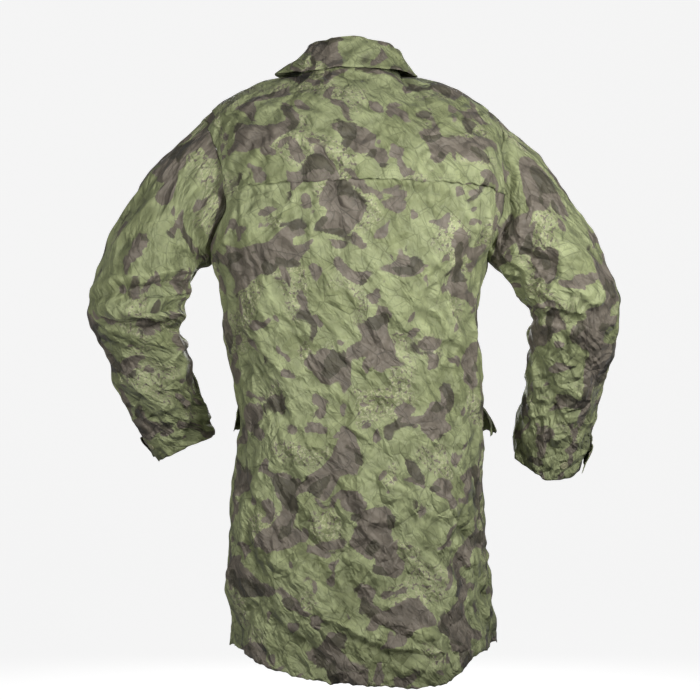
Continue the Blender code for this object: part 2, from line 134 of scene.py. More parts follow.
SleeveRow = namedtuple("SleeveRow", "outer_x outer_z inner_x inner_z y depth back_drop")
SLEEVES = {
    LEFT: [
        SleeveRow(-0.310, -0.130, -0.236, -0.314, -0.005, 0.086, 0.000),
        SleeveRow(-0.363, -0.206, -0.253, -0.322, -0.015, 0.082, 0.000),
        SleeveRow(-0.403, -0.282, -0.266, -0.347, -0.030, 0.078, 0.004),
        SleeveRow(-0.427, -0.349, -0.270, -0.371, -0.045, 0.076, 0.008),
        SleeveRow(-0.434, -0.388, -0.278, -0.393, -0.046, 0.074, 0.008),
        SleeveRow(-0.425, -0.427, -0.281, -0.417, -0.022, 0.071, 0.006),
        SleeveRow(-0.407, -0.474, -0.272, -0.460, 0.020, 0.066, 0.004),
        SleeveRow(-0.387, -0.543, -0.260, -0.522, 0.060, 0.062, 0.004),
        SleeveRow(-0.363, -0.601, -0.247, -0.566, 0.095, 0.060, 0.003),
        SleeveRow(-0.333, -0.650, -0.237, -0.603, 0.120, 0.058, 0.003),
    ],
    RIGHT: [
        SleeveRow(0.319, -0.135, 0.234, -0.313, -0.005, 0.086, 0.000),
        SleeveRow(0.361, -0.196, 0.249, -0.328, -0.015, 0.082, 0.000),
        SleeveRow(0.405, -0.267, 0.270, -0.350, -0.030, 0.078, 0.004),
        SleeveRow(0.435, -0.338, 0.285, -0.379, -0.045, 0.076, 0.008),
        SleeveRow(0.444, -0.384, 0.296, -0.404, -0.046, 0.074, 0.012),
        SleeveRow(0.445, -0.424, 0.299, -0.430, -0.022, 0.071, 0.016),
        SleeveRow(0.438, -0.474, 0.300, -0.477, 0.020, 0.067, 0.020),
        SleeveRow(0.428, -0.546, 0.294, -0.543, 0.060, 0.064, 0.026),
        SleeveRow(0.413, -0.601, 0.288, -0.595, 0.095, 0.063, 0.034),
        SleeveRow(0.401, -0.648, 0.287, -0.632, 0.120, 0.062, 0.040),
    ],
}

CollarRow = namedtuple("CollarRow", "left right back front z_side z_back z_front end")
COLLAR = [
    CollarRow(0.0843, 0.0843, 0.0588, 0.0838, 0.0003, 0.0103, -0.0680, 163),
    CollarRow(0.0780, 0.0785, 0.0560, 0.0790, 0.0240, 0.0360, -0.0360, 166),
    CollarRow(0.0715, 0.0735, 0.0530, 0.0740, 0.0420, 0.0560, -0.0100, 168),
    CollarRow(0.0750, 0.0775, 0.0570, 0.0780, 0.0480, 0.0610, -0.0040, 168),
    CollarRow(0.0795, 0.0845, 0.0620, 0.0830, 0.0440, 0.0570, -0.0100, 166),
    CollarRow(0.0960, 0.0955, 0.0730, 0.1040, 0.0265, 0.0350, -0.0320, 158),
    CollarRow(0.1250, 0.1130, 0.0860, 0.1300, 0.0050, 0.0050, -0.0560, 148),
]

YOKE_ACROSS, YOKE_TOP, YOKE_HEM = 0.94, 0.004, 0.60
YOKE_HEM_LIFT = 7 * MM
YOKE_HEM_SAG = 4.5 * MM
LAP_EDGE, LAP_START = 0.07, 0.15
POCKET_ACROSS, POCKET_TOP, POCKET_FOOT = (0.26, 0.85), 1.40, 1.757
FLAP_ACROSS, FLAP_TOP, FLAP_FOOT = (0.26, 0.92), 1.35, 1.45
FLAP_LIFT = {LEFT: 17 * MM, RIGHT: 30 * MM}
TAB_LINES = (9.1, 9.8)
TAB_FROM, TAB_TO = -82, {LEFT: 7.2, RIGHT: 42.3}    # degrees round the sleeve, behind it above zero
TAB_END_LIFT = {LEFT: 3 * MM, RIGHT: 8 * MM}

# How fine the cloth is: rows down and columns across. The torso's are in the table TORSO.
SLEEVE_ROWS, SLEEVE_COLUMNS = 184, 148
COLLAR_ROWS, COLLAR_COLUMNS = 44, 160
FINE = 2001                     # places along a line that is only measured, to space a grid by

# ---------------------------------------------------------------- the large folds of the solids
Fold = namedtuple("Fold", "x0 z0 x1 z1 height half_width")
BACK_FOLDS = [
    Fold(-0.072, -0.185, -0.078, -0.330, -0.008, 0.016),
    Fold(-0.145, -0.400, -0.067, -0.625, 0.013, 0.024),
    Fold(-0.030, -0.570, 0.190, -0.590, 0.012, 0.026),
    Fold(0.008, -0.660, 0.134, -0.710, 0.012, 0.024),
    Fold(-0.185, -0.700, -0.020, -0.900, 0.014, 0.030),
    Fold(-0.040, -0.870, 0.200, -0.950, 0.014, 0.028),
    Fold(0.170, -0.280, 0.020, -0.480, 0.010, 0.024),
    Fold(0.110, -0.740, 0.220, -0.860, -0.011, 0.026),
    Fold(-0.170, -0.240, -0.120, -0.400, 0.008, 0.022),
]
FRONT_FOLDS = [
    Fold(0.180, -0.330, 0.080, -0.500, 0.012, 0.026),
    Fold(-0.180, -0.340, -0.090, -0.490, 0.012, 0.026),
    Fold(-0.160, -0.830, -0.080, -0.960, 0.012, 0.028),
    Fold(0.150, -0.840, 0.120, -0.960, 0.013, 0.028),
]
SLEEVE_FOLDS = [
    Fold(-0.285, -0.372, -0.350, -0.372, -0.016, 0.016),
    Fold(-0.280, -0.425, -0.400, -0.412, -0.015, 0.016),
    Fold(-0.285, -0.398, -0.390, -0.392, 0.010, 0.014),
    Fold(-0.300, -0.235, -0.370, -0.340, 0.010, 0.022),
    Fold(-0.375, -0.500, -0.300, -0.560, 0.009, 0.020),
    Fold(0.300, -0.395, 0.400, -0.405, -0.016, 0.016),
    Fold(0.300, -0.360, 0.410, -0.370, 0.011, 0.016),
    Fold(0.310, -0.250, 0.400, -0.370, 0.010, 0.022),
    Fold(0.330, -0.470, 0.400, -0.560, 0.009, 0.020),
]

# ---------------------------------------------------------------- the main creases
# Each runs through points (x, z) in millimetres, as the coat is seen from behind. Its height is
# how far it stands out, or sinks in where it is below zero, and its width is half of its own.
Crease = namedtuple("Crease", "height width run")
YOKE_CREASES = [
    Crease(6, 8, ((-108, -126), (-77, -121), (-33, -135), (11, -157))),
    Crease(-5, 6, ((-80, -133), (-28, -145), (0, -159))),
    Crease(-3, 6, ((-7, -116), (13, -93), (48, -80))),
    Crease(-4, 5, ((16, -55), (33, -67), (49, -67), (66, -60))),
    Crease(-2.5, 5, ((-79, -49), (-39, -78))),
    Crease(-2, 5, ((-116, -26), (-84, -36))),
    Crease(-2.5, 5, ((-115, -57), (-79, -63))),
    Crease(-3, 6, ((-133, -96), (-116, -124))),
    Crease(-3, 6, ((90, -14), (113, -32), (139, -57))),
    Crease(3.5, 7, ((72, -58), (105, -65), (151, -83))),
    Crease(-3.5, 5, ((66, -60), (92, -86), (113, -109))),
    Crease(-5, 6, ((95, -172), (108, -145), (121, -132), (143, -126))),
    Crease(4, 7, ((106, -172), (120, -146), (140, -138))),
    Crease(-3, 5, ((39, -160), (64, -157), (90, -159), (97, -168))),
    Crease(-2.5, 5, ((7, -96), (18, -86), (48, -78), (61, -68))),
    Crease(-2, 4, ((174, -113), (239, -132))),
    Crease(-2, 4, ((180, -124), (241, -140))),
    Crease(-2, 4, ((176, -134), (238, -150))),
    Crease(-2.5, 4, ((172, -155), (195, -180))),
    Crease(-2, 5, ((187, -181), (243, -195))),
    Crease(5, 9, ((-200, -165), (-172, -129), (-144, -93))),
    Crease(-4, 7, ((-180, -181), (-144, -154), (-121, -129))),
    Crease(-3, 6, ((148, -80), (197, -101), (233, -122))),
    Crease(3, 7, ((-62, -85), (-30, -98), (-5, -120))),
]
BACK_CREASES = [
    # under the yoke's hem, which stands off over it
    Crease(-6, 6, ((-112, -196), (-84, -192), (-52, -191), (-20, -193))),
    Crease(-7, 6, ((-24, -194), (8, -196), (34, -193))),
    Crease(-6, 6, ((30, -194), (62, -196), (92, -195), (116, -199))),
    Crease(-5, 5, ((-176, -206), (-150, -200), (-122, -197))),
    Crease(-5, 5, ((128, -201), (160, -205), (184, -210))),
    Crease(-5, 6, ((-74, -189), (-75, -223), (-67, -253), (-72, -306))),
    Crease(-4, 6, ((-19, -202), (-11, -226), (5, -244))),
    Crease(-5, 6, ((3, -207), (45, -239))),
    Crease(-5, 6, ((14, -248), (45, -284))),
    Crease(-4, 6, ((53, -219), (70, -246), (87, -276))),
    Crease(-4, 6, ((119, -202), (125, -223), (146, -247))),
    Crease(-3, 5, ((119, -258), (144, -282))),
    Crease(-4, 4, ((162, -203), (170, -227))),
    Crease(-4, 4, ((174, -203), (185, -229))),
    Crease(-4, 4, ((189, -208), (202, -235))),
    Crease(-3, 5, ((74, -207), (96, -216))),
    Crease(-4, 7, ((185, -240), (199, -269), (193, -300))),
    Crease(5, 8, ((215, -225), (223, -253), (220, -300))),
    Crease(-4, 6, ((-191, -212), (-180, -231), (-181, -252))),
    Crease(-3, 5, ((-108, -208), (-93, -227))),
    Crease(-3, 6, ((-40, -263), (-24, -298))),
    Crease(-3, 6, ((-58, -256), (-32, -288))),
    Crease(5, 7, ((-188, -220), (-196, -260), (-206, -300))),
    # between the shoulders and the waist
    Crease(-4, 6, ((-164, -313), (-151, -345), (-135, -356))),
    Crease(-3, 6, ((-143, -303), (-117, -330))),
    Crease(-3, 6, ((-37, -298), (-19, -341))),
    Crease(-5, 7, ((-11, -346), (3, -383), (19, -407))),
    Crease(-4, 6, ((22, -354), (27, -401), (34, -427))),
    Crease(-5, 7, ((-63, -361), (-34, -407), (0, -431))),
    Crease(-3, 5, ((50, -317), (67, -329))),
    Crease(-5, 6, ((91, -319), (117, -353))),
    Crease(-3, 5, ((67, -348), (95, -356), (109, -364))),
    Crease(-3, 5, ((62, -356), (92, -372), (112, -380))),
    Crease(-4, 6, ((128, -311), (152, -341))),
    Crease(-3, 5, ((143, -348), (157, -366))),
    Crease(-4, 5, ((-101, -388), (-67, -409))),
    Crease(-6, 6, ((-85, -425), (-66, -460))),
    Crease(-6, 7, ((-106, -404), (-93, -436), (-79, -454))),
    Crease(-4, 6, ((-127, -394), (-103, -415))),
    # round the waist
    Crease(7, 9, ((112, -385), (133, -394), (151, -412), (170, -438))),
    Crease(-4, 6, ((108, -395), (128, -404), (145, -422), (160, -445))),
    Crease(-5, 7, ((141, -470), (156, -446), (178, -451))),
    Crease(4, 7, ((165, -340), (164, -401), (178, -436), (165, -516))),
    Crease(-5, 5, ((-196, -433), (-164, -441), (-146, -452))),
    Crease(-4, 5, ((-196, -449), (-172, -454), (-140, -464))),
    Crease(6, 7, ((-199, -418), (-164, -423))),
    Crease(-6, 6, ((-160, -462), (-143, -491), (-122, -512))),
    Crease(6, 7, ((-152, -449), (-115, -494), (-100, -515))),
    Crease(-6, 7, ((-186, -470), (-160, -494))),
    Crease(-4, 6, ((-75, -470), (-51, -512), (-45, -524))),
    Crease(-7, 8, ((-77, -521), (-43, -529), (-11, -544))),
    Crease(-5, 6, ((2, -529), (27, -537), (48, -540))),
    Crease(5, 7, ((-2, -521), (27, -530), (58, -535), (76, -529))),
    Crease(-4, 6, ((50, -455), (67, -462), (88, -481))),
    Crease(-3, 5, ((6, -435), (18, -454))),
    Crease(-4, 6, ((18, -486), (34, -523))),
    Crease(-4, 6, ((48, -486), (74, -524))),
    Crease(-3, 6, ((-16, -465), (8, -491))),
    Crease(-3, 5, ((-22, -462), (0, -483))),
    Crease(-4, 6, ((-125, -505), (-114, -545), (-100, -561))),
    Crease(-4, 6, ((-35, -563), (-8, -560), (13, -563))),
    Crease(-4, 6, ((67, -537), (112, -547))),
    Crease(-5, 6, ((116, -492), (130, -518), (148, -537))),
    # the seat and hips
    Crease(-4, 6, ((34, -577), (53, -595), (67, -600))),
    Crease(-4, 6, ((-16, -579), (13, -595), (51, -616))),
    Crease(-4, 6, ((96, -569), (128, -595), (141, -589))),
    Crease(-4, 6, ((37, -634), (75, -653))),
    Crease(-7, 8, ((5, -650), (42, -674), (95, -691), (128, -703))),
    Crease(-4, 6, ((106, -640), (127, -629))),
    Crease(-4, 6, ((114, -661), (136, -640))),
    Crease(6, 7, ((-26, -661), (10, -693), (40, -723))),
    Crease(-6, 6, ((8, -738), (45, -738), (71, -740), (96, -772))),
    Crease(-4, 6, ((74, -775), (120, -788), (132, -805))),
    Crease(-8, 11, ((186, -703), (177, -746), (144, -768))),
    Crease(-4, 6, ((8, -740), (37, -759), (58, -778))),
    Crease(-4, 6, ((151, -773), (141, -796))),
    Crease(-4, 6, ((157, -666), (151, -693))),
    Crease(-4, 6, ((199, -603), (209, -619))),
    Crease(-6, 6, ((11, -678), (56, -675))),
    Crease(-5, 6, ((-101, -568), (-85, -589), (-69, -603))),
    Crease(-4, 6, ((-69, -579), (-48, -597))),
    Crease(-5, 6, ((-160, -635), (-149, -658), (-141, -678))),
    Crease(-4, 5, ((-135, -645), (-111, -664))),
    Crease(-6, 7, ((-178, -664), (-159, -693), (-141, -711), (-127, -727))),
    Crease(-6, 7, ((-95, -640), (-72, -664), (-56, -690))),
    Crease(-4, 5, ((-95, -727), (-50, -727))),
    Crease(-6, 7, ((-95, -730), (-72, -770), (-43, -805), (-21, -826))),
    Crease(-5, 6, ((-141, -711), (-119, -744), (-106, -780), (-85, -797))),
    Crease(-5, 6, ((-169, -744), (-154, -780), (-143, -813))),
    Crease(-4, 5, ((-175, -768), (-159, -802))),
    Crease(-4, 6, ((-119, -698), (-87, -746))),
    Crease(-4, 6, ((-48, -698), (-8, -770))),
    Crease(-4, 6, ((-32, -762), (3, -818))),
    Crease(-4, 6, ((72, -698), (144, -762))),
    # towards the hem
    Crease(-6, 6, ((-88, -799), (-55, -818), (-5, -841))),
    Crease(5, 7, ((-85, -820), (-55, -855))),
    Crease(-7, 7, ((-69, -884), (-40, -879), (-2, -881), (24, -886))),
    Crease(-7, 7, ((-42, -892), (-2, -910), (24, -921))),
    Crease(-6, 7, ((-125, -890), (-96, -911), (-63, -929))),
    Crease(-4, 5, ((-164, -871), (-140, -882))),
    Crease(-6, 8, ((-140, -942), (-122, -943), (-109, -932))),
    Crease(-5, 6, ((-79, -955), (-48, -974), (-18, -981))),
    Crease(-5, 6, ((-63, -929), (-26, -958), (5, -964))),
    Crease(8, 8, ((3, -861), (42, -879), (100, -905), (165, -926))),
    Crease(-7, 7, ((3, -870), (42, -889), (100, -917), (160, -938))),
    Crease(8, 8, ((5, -906), (55, -926), (96, -932), (169, -940))),
    Crease(-6, 6, ((5, -917), (55, -938), (96, -943), (165, -951))),
    Crease(5, 7, ((47, -866), (100, -860))),
    Crease(-5, 6, ((45, -877), (100, -870))),
    Crease(-7, 7, ((106, -826), (130, -850), (162, -866), (170, -874))),
    Crease(-5, 6, ((122, -796), (151, -828))),
    Crease(5, 7, ((58, -950), (83, -971))),
    Crease(-8, 9, ((42, -962), (60, -976))),
    Crease(-5, 6, ((-5, -934), (30, -951), (80, -972))),
    Crease(6, 8, ((87, -971), (114, -971), (140, -979))),
    Crease(5, 6, ((183, -882), (196, -866), (193, -855))),
    Crease(-5, 6, ((-177, -842), (-141, -887))),
    Crease(-5, 6, ((-152, -826), (-112, -874))),
]
SLEEVE_CREASES = {
    LEFT: [
        Crease(-7, 8, ((-203, -166), (-231, -183), (-271, -215))),
        Crease(-14, 14, ((-262, -223), (-252, -266), (-244, -292))),
        Crease(-5, 6, ((-267, -142), (-304, -176), (-332, -201), (-372, -253))),
        Crease(4, 6, ((-284, -138), (-314, -176))),
        Crease(-4, 6, ((-290, -137), (-349, -203), (-398, -278))),
        Crease(-4, 6, ((-304, -226), (-279, -235))),
        Crease(-4, 6, ((-271, -230), (-281, -250))),
        Crease(-4, 6, ((-294, -289), (-267, -298))),
        Crease(-4, 5, ((-350, -314), (-367, -334))),
        Crease(-3, 5, ((-375, -266), (-339, -303))),
        Crease(9, 10, ((-415, -358), (-380, -343), (-339, -340), (-292, -333), (-257, -324))),
        Crease(-12, 8, ((-430, -376), (-408, -366), (-383, -355), (-330, -357), (-262, -342))),
        Crease(9, 8, ((-350, -378), (-309, -374), (-266, -357))),
        Crease(-17, 10, ((-345, -396), (-300, -387), (-262, -372))),
        Crease(8, 9, ((-375, -411), (-339, -412), (-286, -402))),
        Crease(-5, 6, ((-423, -401), (-365, -415))),
        Crease(-4, 6, ((-400, -424), (-375, -437), (-360, -450))),
        Crease(-4, 6, ((-349, -419), (-370, -437))),
        Crease(-4, 6, ((-408, -434), (-393, -477))),
        Crease(4, 5, ((-322, -500), (-322, -542))),
        Crease(-8, 9, ((-262, -447), (-288, -469), (-292, -485))),
        Crease(-4, 5, ((-314, -563), (-292, -555))),
        Crease(4, 5, ((-256, -543), (-281, -555))),
        Crease(-6, 6, ((-314, -562), (-284, -580), (-272, -600))),
        Crease(-6, 7, ((-262, -573), (-276, -603), (-276, -621))),
        Crease(-4, 5, ((-357, -553), (-330, -572), (-314, -562))),
        Crease(-4, 6, ((-355, -568), (-325, -595), (-304, -600))),
        Crease(9, 9, ((-250, -548), (-236, -566), (-222, -590))),
        Crease(-9, 7, ((-257, -577), (-241, -580), (-226, -592))),
    ],
    RIGHT: [
        Crease(-11, 8, ((261, -118), (262, -147), (272, -168), (267, -190))),
        Crease(-8, 9, ((262, -200), (256, -240), (240, -284))),
        Crease(6, 5, ((256, -235), (244, -256), (234, -276))),
        Crease(-5, 6, ((263, -246), (277, -276), (300, -291))),
        Crease(-7, 7, ((250, -262), (272, -285), (310, -323))),
        Crease(-5, 6, ((246, -291), (259, -314), (277, -332))),
        Crease(-6, 7, ((266, -294), (290, -321), (322, -352))),
        Crease(-5, 6, ((297, -298), (322, -318), (340, -336))),
        Crease(-4, 6, ((380, -276), (412, -309))),
        Crease(-4, 6, ((412, -301), (427, -342))),
        Crease(-3, 5, ((349, -306), (378, -308))),
        Crease(-3, 5, ((349, -321), (382, -323))),
        Crease(-3, 5, ((289, -147), (287, -165))),
        Crease(-3, 6, ((299, -180), (322, -198))),
        Crease(-16, 8, ((292, -400), (327, -401), (350, -407), (392, -409))),
        Crease(11, 9, ((292, -385), (330, -386), (360, -394), (392, -395))),
        Crease(-6, 6, ((334, -374), (360, -398), (378, -409))),
        Crease(-7, 6, ((350, -356), (369, -392), (378, -407))),
        Crease(-5, 6, ((304, -365), (327, -380), (357, -397))),
        Crease(-6, 7, ((355, -359), (397, -387))),
        Crease(-4, 5, ((398, -384), (430, -389))),
        Crease(-6, 6, ((345, -430), (350, -452), (344, -464))),
        Crease(7, 7, ((369, -417), (362, -447), (362, -469))),
        Crease(-6, 6, ((360, -425), (353, -447), (353, -470))),
        Crease(5, 6, ((334, -497), (357, -485))),
        Crease(6, 7, ((357, -475), (357, -502), (350, -533))),
        Crease(-4, 5, ((387, -429), (397, -442))),
        Crease(-4, 5, ((378, -464), (402, -482))),
        Crease(-4, 5, ((402, -479), (420, -464))),
        Crease(-12, 10, ((338, -560), (345, -552), (352, -562))),
        Crease(-6, 6, ((304, -555), (317, -548), (334, -545))),
        Crease(-6, 6, ((292, -572), (322, -575), (340, -563))),
        Crease(-6, 6, ((349, -550), (350, -576))),
        Crease(-6, 6, ((355, -567), (383, -557))),
        Crease(5, 6, ((327, -578), (327, -618))),
        Crease(6, 6, ((345, -578), (344, -613), (355, -636))),
        Crease(-5, 5, ((336, -580), (336, -620))),
        Crease(-4, 5, ((355, -578), (369, -598))),
    ],
}
FRONT_CREASES = [
    Crease(-5, 7, ((205, -300), (160, -350), (95, -385))),
    Crease(5, 7, ((212, -335), (150, -392), (90, -420))),
    Crease(-5, 7, ((-208, -305), (-150, -352), (-80, -380))),
    Crease(4, 7, ((-205, -340), (-140, -400), (-70, -418))),
    Crease(-5, 6, ((190, -120), (150, -170), (95, -205))),
    Crease(-4, 6, ((-195, -125), (-160, -180), (-100, -200))),
    Crease(4, 7, ((60, -110), (100, -150), (120, -210))),
    Crease(-4, 6, ((-60, -110), (-95, -160), (-110, -220))),
    Crease(-5, 7, ((40, -440), (95, -470), (180, -480))),
    Crease(5, 7, ((50, -462), (110, -498), (195, -500))),
    Crease(-5, 7, ((-45, -455), (-100, -480), (-170, -478))),
    Crease(-6, 7, ((60, -560), (95, -640), (110, -740))),
    Crease(-5, 7, ((-70, -540), (-90, -620), (-120, -700))),
    Crease(-6, 8, ((55, -780), (105, -850), (130, -930))),
    Crease(6, 8, ((170, -790), (185, -860), (180, -930))),
    Crease(-6, 8, ((-60, -800), (-95, -870), (-110, -940))),
    Crease(-5, 7, ((-150, -760), (-165, -850), (-160, -930))),
    Crease(-4, 6, ((20, -300), (45, -350), (40, -420))),
    Crease(-4, 6, ((-35, -320), (-55, -370), (-40, -430))),
]
SLEEVE_FRONT_CREASES = {
    side: [
        Crease(-8, 9, tuple((side * x, z) for x, z in run)) for run in (
            ((285, -372), (340, -380), (400, -372)),
            ((285, -410), (345, -400), (415, -408)),
            ((290, -200), (330, -260), (350, -330)),
            ((320, -170), (370, -240), (400, -320)),
            ((275, -290), (310, -330), (330, -360)),
            ((300, -450), (350, -480), (400, -530)),
            ((290, -500), (330, -560), (380, -590)),
        )
    ] for side in (LEFT, RIGHT)
}
COLLAR_CREASES = [
    Crease(2.5, 5, ((-105, 2), (-62, 32), (-40, 60))),
    Crease(-2.5, 5, ((-62, 2), (-30, 20), (0, 48))),
    Crease(2, 5, ((-20, 8), (20, 26), (40, 52))),
    Crease(-2.5, 5, ((24, 2), (52, 24), (66, 46))),
    Crease(-4, 5, ((62, 26), (80, 18), (104, 6))),
    Crease(4, 6, ((60, 38), (82, 28), (106, 14))),
    Crease(-2, 4, ((-84, 20), (-70, 44))),
    Crease(2, 4, ((-8, 40), (20, 58))),
]

# Which way the cloth's small creases run: a place on the flat piece, across from its middle line
# and down from its top, how far its say reaches, and degrees from across towards down.
Lie = namedtuple("Lie", "across down reach degrees")
BACK_LIES = [
    Lie(0.00, 0.10, 0.14, 20),
    Lie(-0.20, 0.30, 0.16, 78),
    Lie(0.20, 0.30, 0.16, 70),
    Lie(0.00, 0.35, 0.20, 52),
    Lie(-0.15, 0.75, 0.22, 60),
    Lie(0.12, 0.75, 0.22, 30),
    Lie(-0.30, 0.70, 0.12, 84),
    Lie(0.30, 0.70, 0.12, 96),
]
FRONT_LIES = [
    Lie(0.00, 0.20, 0.20, 90),
    Lie(-0.20, 0.30, 0.18, 55),
    Lie(0.20, 0.30, 0.18, 125),
    Lie(-0.15, 0.75, 0.25, 68),
    Lie(0.15, 0.75, 0.25, 112),
]
SLEEVE_LIES = [
    Lie(0.00, 0.10, 0.18, 88),
    Lie(0.20, 0.15, 0.15, 60),
    Lie(0.00, 0.36, 0.12, 10),
    Lie(-0.20, 0.36, 0.12, 20),
    Lie(0.05, 0.55, 0.16, 75),
    Lie(-0.20, 0.60, 0.16, 100),
]
COLLAR_LIES = [Lie(0.0, 0.05, 0.2, -50), Lie(0.2, 0.05, 0.2, 40)]


# ---------------------------------------------------------------- curves through tables
def smooth(share):
    share = np.clip(share, 0.0, 1.0)
    return share * share * (3.0 - 2.0 * share)


def through(places, values, at):
    """A smooth curve through a table's values, read at any places between its first and last."""
    places, values = np.asarray(places, float), np.asarray(values, float)
    at = np.clip(at, places[0], places[-1])
    slopes = np.gradient(values, places, axis=0)
    low = np.clip(np.searchsorted(places, at, side="right") - 1, 0, len(places) - 2)
    step = places[low + 1] - places[low]
    t = (at - places[low]) / step
    if values.ndim > 1:
        t, step = t[:, None, None], step[:, None, None]
    rest = 1.0 - t
    return (values[low] * (1 + 2 * t) * rest ** 2 + slopes[low] * step * t * rest ** 2
            + values[low + 1] * (3 - 2 * t) * t ** 2 - slopes[low + 1] * step * rest * t ** 2)


def named(rows, column):
    return [getattr(row, column) for row in rows]


def from_top(rows, column, at):
    return through([-row.z for row in rows], named(rows, column), -at)


def evenly(points, places, count):
    """As many places as count, spaced evenly along the line of points that all the places give."""
    steps = np.linalg.norm(np.diff(points, axis=0), axis=1)
    along = np.concatenate([[0.0], np.cumsum(steps)])
    return np.interp(np.linspace(0.0, along[-1], count), along, places)


# ---------------------------------------------------------------- the form of each piece
def armhole_side(drop, side):
    return through(named(ARMHOLE, "drop"), named(ARMHOLE, SIDE_NAMES[side]), drop)


def armhole_depth(drop, face):
    depth = ARMHOLE_BACK_DEPTH if face == BACK else ARMHOLE_FRONT_DEPTH
    return face * depth * np.sqrt(np.clip(1.0 - (1.0 - 2.0 * drop) ** 2, 0.0, 1.0))


def torso_grid(face, across, lines):
    """Points of the torso's back or front. Across, 0 is its middle and 1 a side seam; down it, 0 is
    the shoulder seam, 1 the armpit and 2 the hem."""
    a = np.asarray(across, float)[None, :]
    v = np.asarray(lines, float)[:, None]
    drop, lower = np.clip(v, 1e-6, 1.0), np.clip(v - 1.0, 0.0, 1.0)
    level = ARMPIT_Z + lower * (HEM_SIDE_Z - ARMPIT_Z)
    above = v < 1.0
    left = np.where(above, armhole_side(drop, LEFT), from_top(BODY, "left", level))
    right = np.where(above, armhole_side(drop, RIGHT), from_top(BODY, "right", level))
    reach = "back" if face == BACK else "front"
    furthest = np.where(above, through(named(UPPER, "drop"), named(UPPER, reach), drop),
                        from_top(BODY, reach, level))

    angle = a * math.pi / 2
    bend = np.sin(angle)
    power = CHEST_BULGE_POWER + (SECTION_POWER - CHEST_BULGE_POWER) * smooth(drop)
    bulge = np.clip(1.0 - np.abs(bend) ** SECTION_POWER, 0.0, 1.0) ** (1.0 / power)
    rounding = np.sqrt(1.0 - (1.0 - np.minimum(drop / SHOULDER_ROUND, 1.0)) ** 2)
    edge = np.where(above, armhole_depth(drop, face) / rounding, 0.0)
    section_x = (left + right) / 2 + (right - left) / 2 * bend
    section_y = edge + (furthest - edge) * bulge

    turn = np.clip(np.abs(a) / NECK_SHARE, 0.0, 1.0) * math.pi / 2
    along_shoulder = np.clip((np.abs(a) - NECK_SHARE) / (1.0 - NECK_SHARE), 0.0, 1.0)
    armhole = np.where(a < 0, -left, right)
    top_x = np.sign(a) * (NECK_HALF * np.sin(turn) + (armhole - NECK_HALF) * along_shoulder)
    neck_depth = NECK_BACK if face == BACK else NECK_FRONT
    neck_rise = NECK_BACK_RISE if face == BACK else -NECK_FRONT_DROP
    top_y = face * neck_depth * np.cos(turn)
    top_z = neck_rise * np.cos(turn) ** 2 + SHOULDER_TIP_Z * along_shoulder ** SHOULDER_SLOPE_POWER

    x = top_x + (section_x - top_x) * smooth(drop / NECKLINE_FADE)
    y = top_y + (section_y - top_y) * np.where(above, rounding, 1.0)
    if face == BACK:
        hem_z = through(named(BACK_HEM, "across"), named(BACK_HEM, "z"), a)
    else:
        hem_z = HEM_SIDE_Z - HEM_FRONT_DIP * np.cos(angle) ** 2
    z = np.where(above, top_z + (ARMPIT_Z - top_z) * drop, ARMPIT_Z + lower * (hem_z - ARMPIT_Z))
    y = y + face * SEAM_GAP / 2
    return np.stack(np.broadcast_arrays(x, y, z), axis=-1)


WAIST_LINE, BLADE_PLACE = 1.4, 0.45     # the row and the column by which a face's points are spaced


def torso_places(face, rows, columns):
    """Lines down and places across that space a face's points evenly."""
    fine = np.linspace(-1.0, 1.0, FINE)
    across = evenly(torso_grid(face, fine, [WAIST_LINE])[0], fine, columns)
    for side in (LEFT, RIGHT):
        for kept in (NECK_SHARE, LAP_EDGE):
            across[np.argmin(np.abs(across - side * kept))] = side * kept
    fine = np.linspace(0.0, 2.0, FINE)
    lines = evenly(torso_grid(face, [BLADE_PLACE], fine)[:, 0], fine, rows)
    return across, lines


def sleeve_grid(side, lines, turns):
    """A sleeve's points. Its turns start and end at the inner line, and 0 is the outer line."""
    armhole_drop = (1.0 - np.cos(turns)) / 2
    x = armhole_side(armhole_drop, side) + side * ARMHOLE_GAP
    y = np.where(turns > 0, armhole_depth(armhole_drop, BACK), armhole_depth(armhole_drop, FRONT))
    z = SHOULDER_TIP_Z + (ARMPIT_Z - SHOULDER_TIP_Z) * armhole_drop
    rings = [np.stack([x, y, z], axis=-1)]
    for row in SLEEVES[side]:
        outer = np.array((row.outer_x, row.y, row.outer_z))
        inner = np.array((row.inner_x, row.y, row.inner_z))
        to_back = np.array((0.0, -row.depth, -row.back_drop))
        rings.append((outer + inner) / 2 + np.cos(turns)[:, None] * (outer - inner) / 2
                     + np.sin(turns)[:, None] * to_back)
    grid = through(np.arange(len(rings)), np.stack(rings), lines)
    return grid[:, ::-1] if side == RIGHT else grid


def collar_grid(rows, columns):
    """The collar's points: up the stand, over the fold and down the fall."""
    at = np.linspace(0.0, len(COLLAR) - 1.0, rows)
    line = {name: through(np.arange(len(COLLAR)), named(COLLAR, name), at)[:, None]
            for name in CollarRow._fields}
    turns = np.radians(np.linspace(-1.0, 1.0, columns)[None, :] * line["end"])
    behind, ahead = np.clip(np.cos(turns), 0, 1), np.clip(-np.cos(turns), 0, 1)
    x = np.where(turns < 0, line["left"], line["right"]) * np.sin(turns)
    y = ahead * line["front"] - behind * line["back"]
    z = (line["z_side"] + (line["z_back"] - line["z_side"]) * behind ** 2
         + (line["z_front"] - line["z_side"]) * ahead ** 2)
    return np.stack([x, y, z], axis=-1)


